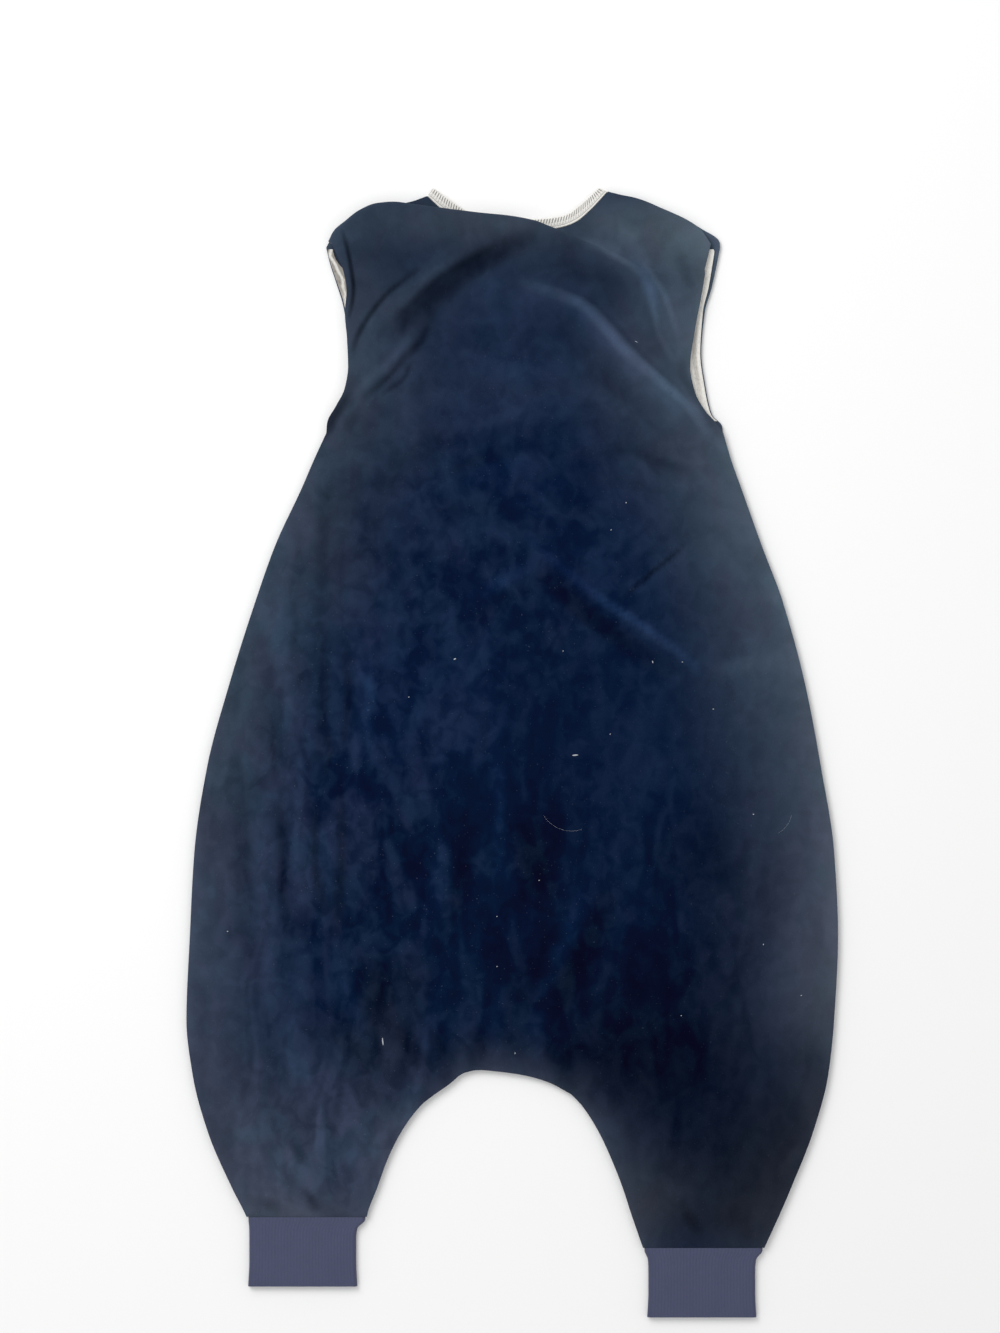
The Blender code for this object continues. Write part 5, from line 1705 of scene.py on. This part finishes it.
@dataclass(frozen=True)
class NeckBand:
    """Rib band round the neck in three lengths, with its row of stitches."""

    plan: SackPlan
    levels: ClothLevels
    rows: int = 14
    soft: float = 0.5
    fine: int = 16
    front_columns: int = 84
    # Width of the cut, and length of it at the back and at one front, in metres
    cut_width: float = 0.01
    cut_lengths: Spot = (0.21, 0.12)
    stitch_row: float = 0.24
    stitch: Size = (1.5, 0.42, 0.34)
    stitch_pitch: float = 2.5
    # Where the stitches read the rib's finish: on its pale strip
    stitch_weave: Spot = (0, 0.35)
    # Share of the width from the seam, and the wall's thickness there
    section: Table = Table((
        (0, 1.5), (0.05, 2.1), (0.12, 2.3), (0.2, 1.6), (0.3, 2), (0.45, 2.2), (0.8, 2.2), (0.93, 1.9),
        (1, 1.2),
    ))

    @property
    def shares(self) -> Array:
        """Shares of the width from the seam, one for each row."""
        return np.linspace(0, 1, self.rows + 1)[:, None]

    def across(self, seam: Array, free: Array) -> Array:
        """Points over the band's width, from its gap beside the seam to its free edge."""
        clear = self.levels.gap / np.hypot(*(free - seam).T)[:, None]
        return mix(seam, free, mix(clear, 1, self.shares[..., None]))

    def grid(self, spots: Array, level: Values) -> ClothGrid:
        """Band through points over its width.

        Args:
            spots: rows, columns and places.
            level: level of the points.

        Returns:
            The band's grid, its weave in millimetres along and in shares across.
        """
        x, y = spots[..., 0], spots[..., 1]
        along = walked(spots[self.rows // 2])
        wall = self.section.at(self.shares)[..., 0] + 0 * x
        weave = np.stack([along + 0 * x, self.shares / MM + 0 * x], -1)
        return ClothGrid(x, y, level + 0 * x, wall, 0 * x, 0 * x, weave=weave)

    def stitches(self, name: str, spots: Array, level: Values, finishes: Finishes) -> Piece:
        """Row of short stitches along the band.

        Args:
            name: the row's name.
            spots: rows, columns and places of the band.
            level: level of the stitches, for each column.
            finishes: the sack's materials.

        Returns:
            The piece.
        """
        line = mix(spots[0], spots[-1], self.stitch_row)
        level = level + 0 * line[:, 0]
        along = walked(line)
        bm = bmesh.new()
        uv = bm.loops.layers.uv.new("weave")
        for at in np.arange(self.stitch_pitch, along[-1] - self.stitch_pitch, self.stitch_pitch):
            x, y, z = (np.interp(at, along, part) for part in (line[:, 0], line[:, 1], level))
            ahead = [np.interp(at + 1, along, line[:, k]) for k in range(2)]
            turn = Matrix.Rotation(math.atan2(ahead[1] - y, ahead[0] - x), 4, "Z")
            place = Matrix.Translation(self.plan.place(x, y, z))
            size = Matrix.Diagonal((*[length / 2 * MM for length in self.stitch], 1))
            bmesh.ops.create_icosphere(bm, subdivisions=1, radius=1, matrix=place @ turn @ size)
        for face in bm.faces:
            for loop in face.loops:
                loop[uv].uv = self.stitch_weave
        return finish_mesh(name, bm, [finishes.neck])

    def make(self, finishes: Finishes) -> None:
        """Args:
            finishes: the sack's materials.
        """
        plan = self.plan
        first, last = plan.neck_stations
        station = np.linspace(first, last, (last - first) * self.fine + 1)
        seam = plan.seam(station)
        level = SlumpFold.at(plan, self.levels, station).seam
        free = plan.band_edge.at((station - first) / (last - first))
        back_length, front_length = self.cut_lengths
        bands = [("back", seam, free, level, 0, back_length)]
        share = np.linspace(0, 1, self.front_columns + 1)
        for side in Side:
            edges = [plan.front_neck(side, share, inward) for inward in (0, 1)]
            bands.append((f"front_{side.word}", *edges, 0 * share, 1, front_length))
        for part, inner, outer, floor, offset, length in bands:
            name, spots = f"neck_band_{part}", self.across(inner, outer)
            piece = self.grid(spots, floor).build(name, plan, [finishes.neck], offset, self.soft)
            top = self.section.at(self.stitch_row)[0] * (1 + offset) / 2
            row = self.stitches(f"{name}_stitches", spots, floor + top, finishes)
            declare(row, ())
            declare(piece, (f"neck_binding_{part}",))


@dataclass(frozen=True)
class Cuff:
    """Rib cuff: a flattened tube below one leg's hem."""

    plan: SackPlan
    side: Side
    middles: Spot = (-180.6, 163)
    length: float = 60
    width: float = 92
    height: float = 5.1
    wall: float = 2
    soft: float = 0.6
    inset: float = 3
    points: int = 168
    rows: int = 44
    # Distance below the hem, share of the cuff's own middle and width, extra width
    rings: Table = Table((
        (0, 0, 0), (2.5, 0, 0), (10, 0.85, 0), (18, 1, 0), (38, 1, 0), (59.7, 1, 2),
    ))
    cut: Cut = Cut((0.19, 0.06), None, "laid", ())

    def outline(self, width: Array) -> tuple[Array, Array]:
        """Section of the tube from the bottom of its right end and up.

        Args:
            width: width of the tube, one for each ring.

        Returns:
            Places across and levels, for each ring and point.
        """
        half = self.height / 2
        flat = (width - self.height)[:, None] / 2
        # The right end, two sixths of top, the left end and two sixths of bottom
        sixth = np.linspace(0, 6, self.points + 1)
        right, left = sixth <= 1, (sixth >= 3) & (sixth <= 4)
        angle = math.pi * np.where(right, sixth - 0.5, sixth - 2.5)
        rounded = np.where(right, 1, -1) * flat + half * np.cos(angle)
        x = np.where(right | left, rounded, np.where(sixth < 3, flat * (2 - sixth), flat * (sixth - 5)))
        z = np.where(right | left, half * (1 + np.sin(angle)), np.where(sixth < 3, self.height, 0))
        return x, z + 0 * x

    def grid(self) -> ClothGrid:
        """Rings of the tube down the leg.

        Returns:
            The cuff's grid.
        """
        plan, side = self.plan, self.side
        hem = plan.hems[side.value]
        outer, inner = plan.side_x(hem, side), plan.inseam_x(hem, side)
        down = np.linspace(0, self.length - plan.seam_gap, self.rows + 1)
        own, extra = self.rings.at(down).T
        width = mix(abs(outer - inner) - self.inset, self.width, own) + extra
        x, z = self.outline(width)
        x = x + mix((outer + inner) / 2, self.middles[side.value], own)[:, None]
        y = (hem - plan.seam_gap - down)[:, None] + 0 * x
        around = np.linspace(0, 2 * self.width, self.points + 1)
        weave = np.stack([around + 0 * x, y], -1)
        return ClothGrid(x, y, z, np.full_like(x, self.wall), 0 * x, 0 * x, weave=weave)

    def make(self, finishes: Finishes) -> None:
        """Args:
            finishes: the sack's materials.
        """
        name = f"rib_cuff_{self.side.word}"
        piece = self.grid().build(name, self.plan, [finishes.cuff], -1, self.soft, closed=True)
        declare(piece, (f"cuff_{self.side.word}",))


@dataclass(frozen=True)
class Zip:
    """The zip up the front: woven tapes, moulded teeth, slider and pull."""

    plan: SackPlan
    levels: ClothLevels
    chain_width: float = 6
    tape_width: float = 14
    tape_thick: float = 0.6
    # Where the tape starts below the zip's top, and how much shorter than the zip it is
    tape_top: float = 0.5
    tape_short: float = 2.5
    # Height of the waves along the tape's edges, and their phase over its length in radians
    tape_wave: Spot = (0.12, 60)
    tape_grid: tuple[int, int] = (8, 120)
    tooth_pitch: float = 2.5
    tooth: Size = (3.6, 1.35, 2.3)
    tooth_aside: float = 1.1
    tooth_round: float = 0.35
    # Bare chain above the first tooth and below the last one
    bare_chain: Spot = (1, 4)
    slider_length: float = 11
    slider_top: float = 2.5
    slider_post: Spot = (2.5, 0.4)
    pull: Size = (4.8, 22, 0.9)
    pull_level: float = 0.9
    # Corners as a share of the width, rim and depth of the sunk face, and rounding of the edges
    pull_corner: float = 0.45
    pull_face: Spot = (0.9, -0.15)
    pull_round: float = 0.12
    hinge_rise: float = 2
    cut: Cut = Cut((0.014, 0.627), None, "laid", ("front_panel_left", "front_panel_right"))

    def line(self) -> Matrix:
        """Place of the zip's top, Y along the zip."""
        top = self.plan.place(self.plan.centre_x(self.plan.zip_top), self.plan.zip_top)
        return Matrix.Translation(top) @ Matrix.Rotation(-math.atan(self.plan.centre_slope), 4, "Z")

    @property
    def tape_level(self) -> float:
        """Middle of the tapes."""
        return self.levels.front + self.levels.gap + self.tape_thick / 2

    @property
    def length(self) -> float:
        """Length of the zip below its top."""
        return self.plan.zip_top - self.plan.zip_end

    def tape(self, side: Side, finishes: Finishes) -> None:
        """Woven tape on one side, its edges slightly wavy.

        Args:
            side: which side of the chain it is on.
            finishes: the sack's materials.
        """
        bm = bmesh.new()
        columns, rows = self.tape_grid
        bmesh.ops.create_grid(bm, x_segments=columns, y_segments=rows, size=0.5)
        middle = side.sign * (self.chain_width / 2 + self.levels.gap + self.tape_width / 2)
        length = self.length - self.tape_short
        height, rate = self.tape_wave
        for vert in bm.verts:
            across, along = vert.co.x, vert.co.y
            level = self.tape_level + height * math.sin(along * rate) * abs(across) * 2
            spot = (middle + across * self.tape_width, (along - 0.5) * length - self.tape_top, level)
            vert.co = Vector(spot) * MM
        bmesh.ops.transform(bm, matrix=self.line(), verts=bm.verts)
        piece = finish_mesh(f"zip_weave_{side.word}", bm, [finishes.weave])
        solid = piece.modifiers.new("Wall", "SOLIDIFY")
        solid.thickness = self.tape_thick * MM
        solid.offset = 0
        declare(piece, (f"zip_tape_{side.word}",))

    def teeth(self, finishes: Finishes) -> None:
        """Two rows of moulded teeth that mesh along the middle.

        Args:
            finishes: the sack's materials.
        """
        bm = bmesh.new()
        above, below = self.bare_chain
        top = self.slider_top + sum(self.slider_post) + self.levels.gap + above
        count = int((self.length - below - top) / self.tooth_pitch)
        bmesh.ops.create_cube(bm, size=1)
        bmesh.ops.scale(bm, vec=Vector(self.tooth) * MM, verts=bm.verts)
        soften(bm, bm.edges[:], self.tooth_round, 1)
        pattern = bpy.data.meshes.new("tooth")
        bm.to_mesh(pattern)
        bm.clear()
        for k in range(count):
            for side in Side:
                y = -(top + (k + 0.5 * side.value) * self.tooth_pitch)
                place = Matrix.Translation(Vector((side.sign * self.tooth_aside, y, self.tape_level)) * MM)
                before = len(bm.verts)
                bm.from_mesh(pattern)
                bm.verts.ensure_lookup_table()
                bmesh.ops.transform(bm, matrix=self.line() @ place, verts=bm.verts[before:])
        bpy.data.meshes.remove(pattern)
        declare(finish_mesh("zip_teeth", bm, [finishes.weave]), ("zip_chain",))

    def tab(self, finishes: Finishes) -> None:
        """Pull tab with a rounded end and a sunk face, hanging from the slider's ears.

        Args:
            finishes: the sack's materials.
        """
        width, length, thick = self.pull
        bm = bmesh.new()
        bmesh.ops.create_cube(bm, size=1)
        bmesh.ops.scale(bm, vec=Vector(self.pull) * MM, verts=bm.verts)
        low = [edge for edge in bm.edges if all(vert.co.y < 0 for vert in edge.verts)
               and abs(edge.verts[0].co.z - edge.verts[1].co.z) > thick / 2 * MM]
        soften(bm, low, width * self.pull_corner, 6)
        faces = [face for face in bm.faces if abs(face.normal.z) > 0.9]
        rim, depth = self.pull_face
        bmesh.ops.inset_individual(bm, faces=faces, thickness=rim * MM, depth=depth * MM)
        soften(bm, [edge for edge in bm.edges if edge.calc_face_angle(0) > SHARP], self.pull_round, 2)
        hinge = -self.slider_length / 2 - self.slider_top + self.hinge_rise
        spot = Vector((0, hinge - (length - thick) / 2, self.pull_level)) * MM
        bmesh.ops.transform(bm, matrix=self.line() @ Matrix.Translation(spot), verts=bm.verts)
        declare(finish_mesh("zip_tab", bm, [finishes.metal]), ("zip_pull",), body="pull")

    def make(self, finishes: Finishes) -> None:
        """Args:
            finishes: the sack's materials.
        """
        slots = frame["nodes"]["zip_slider"].data.materials
        slots.clear()
        slots.append(finishes.metal)
        for side in Side:
            self.tape(side, finishes)
        self.teeth(finishes)
        self.tab(finishes)


class Fibre(NamedTuple):
    """A stray fibre on the back: place, length, width and direction in degrees."""

    x: float
    y: float
    length: float
    width: float
    angle: float


class Hair(NamedTuple):
    """A stray hair that lies in an arc: middle, radius, first angle and turn in degrees."""

    x: float
    y: float
    radius: float
    start: float
    turn: float


@dataclass(frozen=True)
class StrayLint:
    """Specks of lint and two stray hairs on the velour."""

    plan: SackPlan
    specks: tuple[Fibre, ...] = (
        Fibre(-49.5, 81.7, 2.4, 1.2, 30), Fibre(43.4, 88.6, 1.2, 0.7, 80),
        Fibre(120.4, 79.1, 2.2, 0.9, 100), Fibre(145.8, 79.1, 1.2, 0.8, 0),
        Fibre(97.6, 215.9, 1.3, 0.8, 60), Fibre(84.7, 192.6, 1.2, 0.7, 20), Fibre(53.8, -0.9, 5.2, 1.3, 5),
        Fibre(83.9, 17.2, 1.3, 0.8, 40), Fibre(172.4, 38.7, 1.3, 0.8, 10), Fibre(206.8, -51.6, 1.3, 0.9, 0),
        Fibre(215.4, -163.4, 1.4, 0.8, 70), Fibre(22.8, -108.4, 1.2, 0.7, 0),
        Fibre(-13.3, -139.3, 1.2, 0.7, 30), Fibre(-13.3, -182.3, 1.2, 0.7, 50),
        Fibre(-244.7, -152.2, 1.3, 0.8, 0), Fibre(2.2, -257.1, 1.8, 0.7, 85),
        Fibre(144.9, -224.5, 1.2, 0.7, 0), Fibre(248.1, -207.3, 1.2, 0.8, 20),
        Fibre(-111.4, -246.8, 7, 1.1, 96), Fibre(-89, 49, 1.2, 0.8, 0), Fibre(106.2, 354.3, 3, 0.5, -25),
    )
    hairs: tuple[Hair, ...] = (Hair(50.6, -38, 28, 212, 76), Hair(218, -48, 22, 298, 50))
    hair_width: float = 0.09
    hair_sides: int = 5
    hair_steps: int = 18
    # How deep the specks sit in the nap, and the height in metres that the velour is looked for from
    sunk: float = 0.15
    above: float = 0.1

    def level(self, velour: BVHTree, spot: Vector) -> float:
        """Height of the velour under a place, in metres."""
        return velour.ray_cast(Vector((spot.x, spot.y, self.above)), Vector((0, 0, -1)))[0].z

    def make(self, finishes: Finishes, back: Piece) -> None:
        """Args:
            finishes: the sack's materials.
            back: the piece that the lint lies on.
        """
        velour = BVHTree.FromObject(back, bpy.context.evaluated_depsgraph_get())
        bm = bmesh.new()
        for fibre in self.specks:
            size = Matrix.Diagonal((fibre.length / 2 * MM, fibre.width / 2 * MM, fibre.width / 3 * MM, 1))
            turn = Matrix.Rotation(math.radians(fibre.angle), 4, "Z")
            spot = self.plan.place(fibre.x, fibre.y, fibre.width / 3 - self.sunk)
            spot.z += self.level(velour, spot)
            bmesh.ops.create_icosphere(bm, subdivisions=2, radius=1,
                                       matrix=Matrix.Translation(spot) @ turn @ size)
        for hair in self.hairs:
            middle = self.plan.place(hair.x, hair.y)
            start = Matrix.Rotation(math.radians(hair.start), 4, "Z")
            out = Matrix.Translation((hair.radius * MM, 0, 0)) @ Matrix.Rotation(math.pi / 2, 4, "X")
            place = Matrix.Translation(middle) @ start @ out
            ring = bmesh.ops.create_circle(bm, segments=self.hair_sides, radius=self.hair_width / 2 * MM,
                                           matrix=place)
            before = len(bm.verts) - len(ring["verts"])
            edges = list({edge for vert in ring["verts"] for edge in vert.link_edges})
            bmesh.ops.spin(bm, geom=ring["verts"] + edges, cent=middle, axis=(0, 0, 1),
                           angle=math.radians(hair.turn), steps=self.hair_steps, use_merge=False)
            bm.verts.ensure_lookup_table()
            for vert in bm.verts[before:]:
                vert.co.z += self.level(velour, vert.co)
        bmesh.ops.recalc_face_normals(bm, faces=bm.faces)
        declare(finish_mesh("stray_lint", bm, [finishes.lint]), ())


@dataclass(frozen=True)
class Studio:
    """Pale floor, soft light and the camera straight above."""

    pixel: float = 0.86
    photo: tuple[int, int] = (1000, 1333)
    origin_pixel: Spot = (512.5, 754)
    lens: float = 85
    sensor: float = 36
    aim_level: float = 6
    floor_level: float = -0.5
    floor_size: float = 6
    floor_grey: float = 0.93
    floor_roughness: float = 0.9
    sky: float = 0.72
    key_power: float = 42
    key_size: float = 1.6
    key_place: Size = (-1.3, 1.5, 2)

    def floor(self) -> None:
        """Plain pale floor under the sack."""
        bm = bmesh.new()
        bmesh.ops.create_grid(bm, x_segments=1, y_segments=1, size=self.floor_size / 2)
        bmesh.ops.translate(bm, vec=(0, 0, self.floor_level * MM), verts=bm.verts)
        g = Graph("pale_floor")
        g.set(Base_Color=(self.floor_grey,) * 3, Roughness=self.floor_roughness)
        finish_mesh("floor", bm, [g.material])

    def light(self) -> None:
        """Even white surroundings with one large soft lamp from the upper left."""
        world = bpy.data.worlds.new("studio")
        world.use_nodes = True
        background = world.node_tree.nodes["Background"]
        background.inputs["Color"].default_value = (1, 1, 1, 1)
        background.inputs["Strength"].default_value = self.sky
        bpy.context.scene.world = world
        lamp = bpy.data.lights.new("soft_key", "AREA")
        lamp.shape = "SQUARE"
        lamp.size = self.key_size
        lamp.energy = self.key_power
        key = bpy.data.objects.new("soft_key", lamp)
        key.location = self.key_place
        key.rotation_euler = Vector(self.key_place).to_track_quat("Z", "Y").to_euler()
        bpy.context.scene.collection.objects.link(key)
        bpy.context.scene.view_settings.view_transform = "Standard"

    def camera(self, plan: SackPlan) -> None:
        """Camera over the middle of the photograph's frame.

        Args:
            plan: the sack's plan.
        """
        x = (self.photo[0] / 2 - self.origin_pixel[0]) * self.pixel
        y = (self.origin_pixel[1] - self.photo[1] / 2) * self.pixel
        away = self.photo[1] * self.pixel * self.lens / self.sensor
        data = bpy.data.cameras.new("camera")
        data.lens = self.lens
        data.sensor_width = self.sensor
        camera = bpy.data.objects.new("camera", data)
        camera.location = plan.place(x, y, away + self.aim_level)
        bpy.context.scene.collection.objects.link(camera)
        bpy.context.scene.camera = camera


def main() -> None:
    """Build and dress the sack, report its pieces, and set the studio round it."""
    logging.basicConfig(level=logging.INFO, format="%(message)s")
    plan, levels, finishes = SackPlan(), ClothLevels(), Finishes()
    back = BackPanel(plan, levels).make(finishes)
    for side in Side:
        FrontPanel(plan, levels, side).make(finishes)
        ArmholeLining(plan, levels, side).make(finishes)
        Cuff(plan, side).make(finishes)
    NeckBand(plan, levels).make(finishes)
    Zip(plan, levels).make(finishes)
    StrayLint(plan).make(finishes, back)
    solids = list(frame["nodes"].values())
    for piece in bpy.context.scene.objects:
        if piece.type == "MESH" and piece not in solids:
            LOG.info("made %s with %d points", piece.name, len(piece.data.vertices))
    studio = Studio()
    studio.floor()
    studio.light()
    studio.camera(plan)


if __name__ == "__main__":
    main()
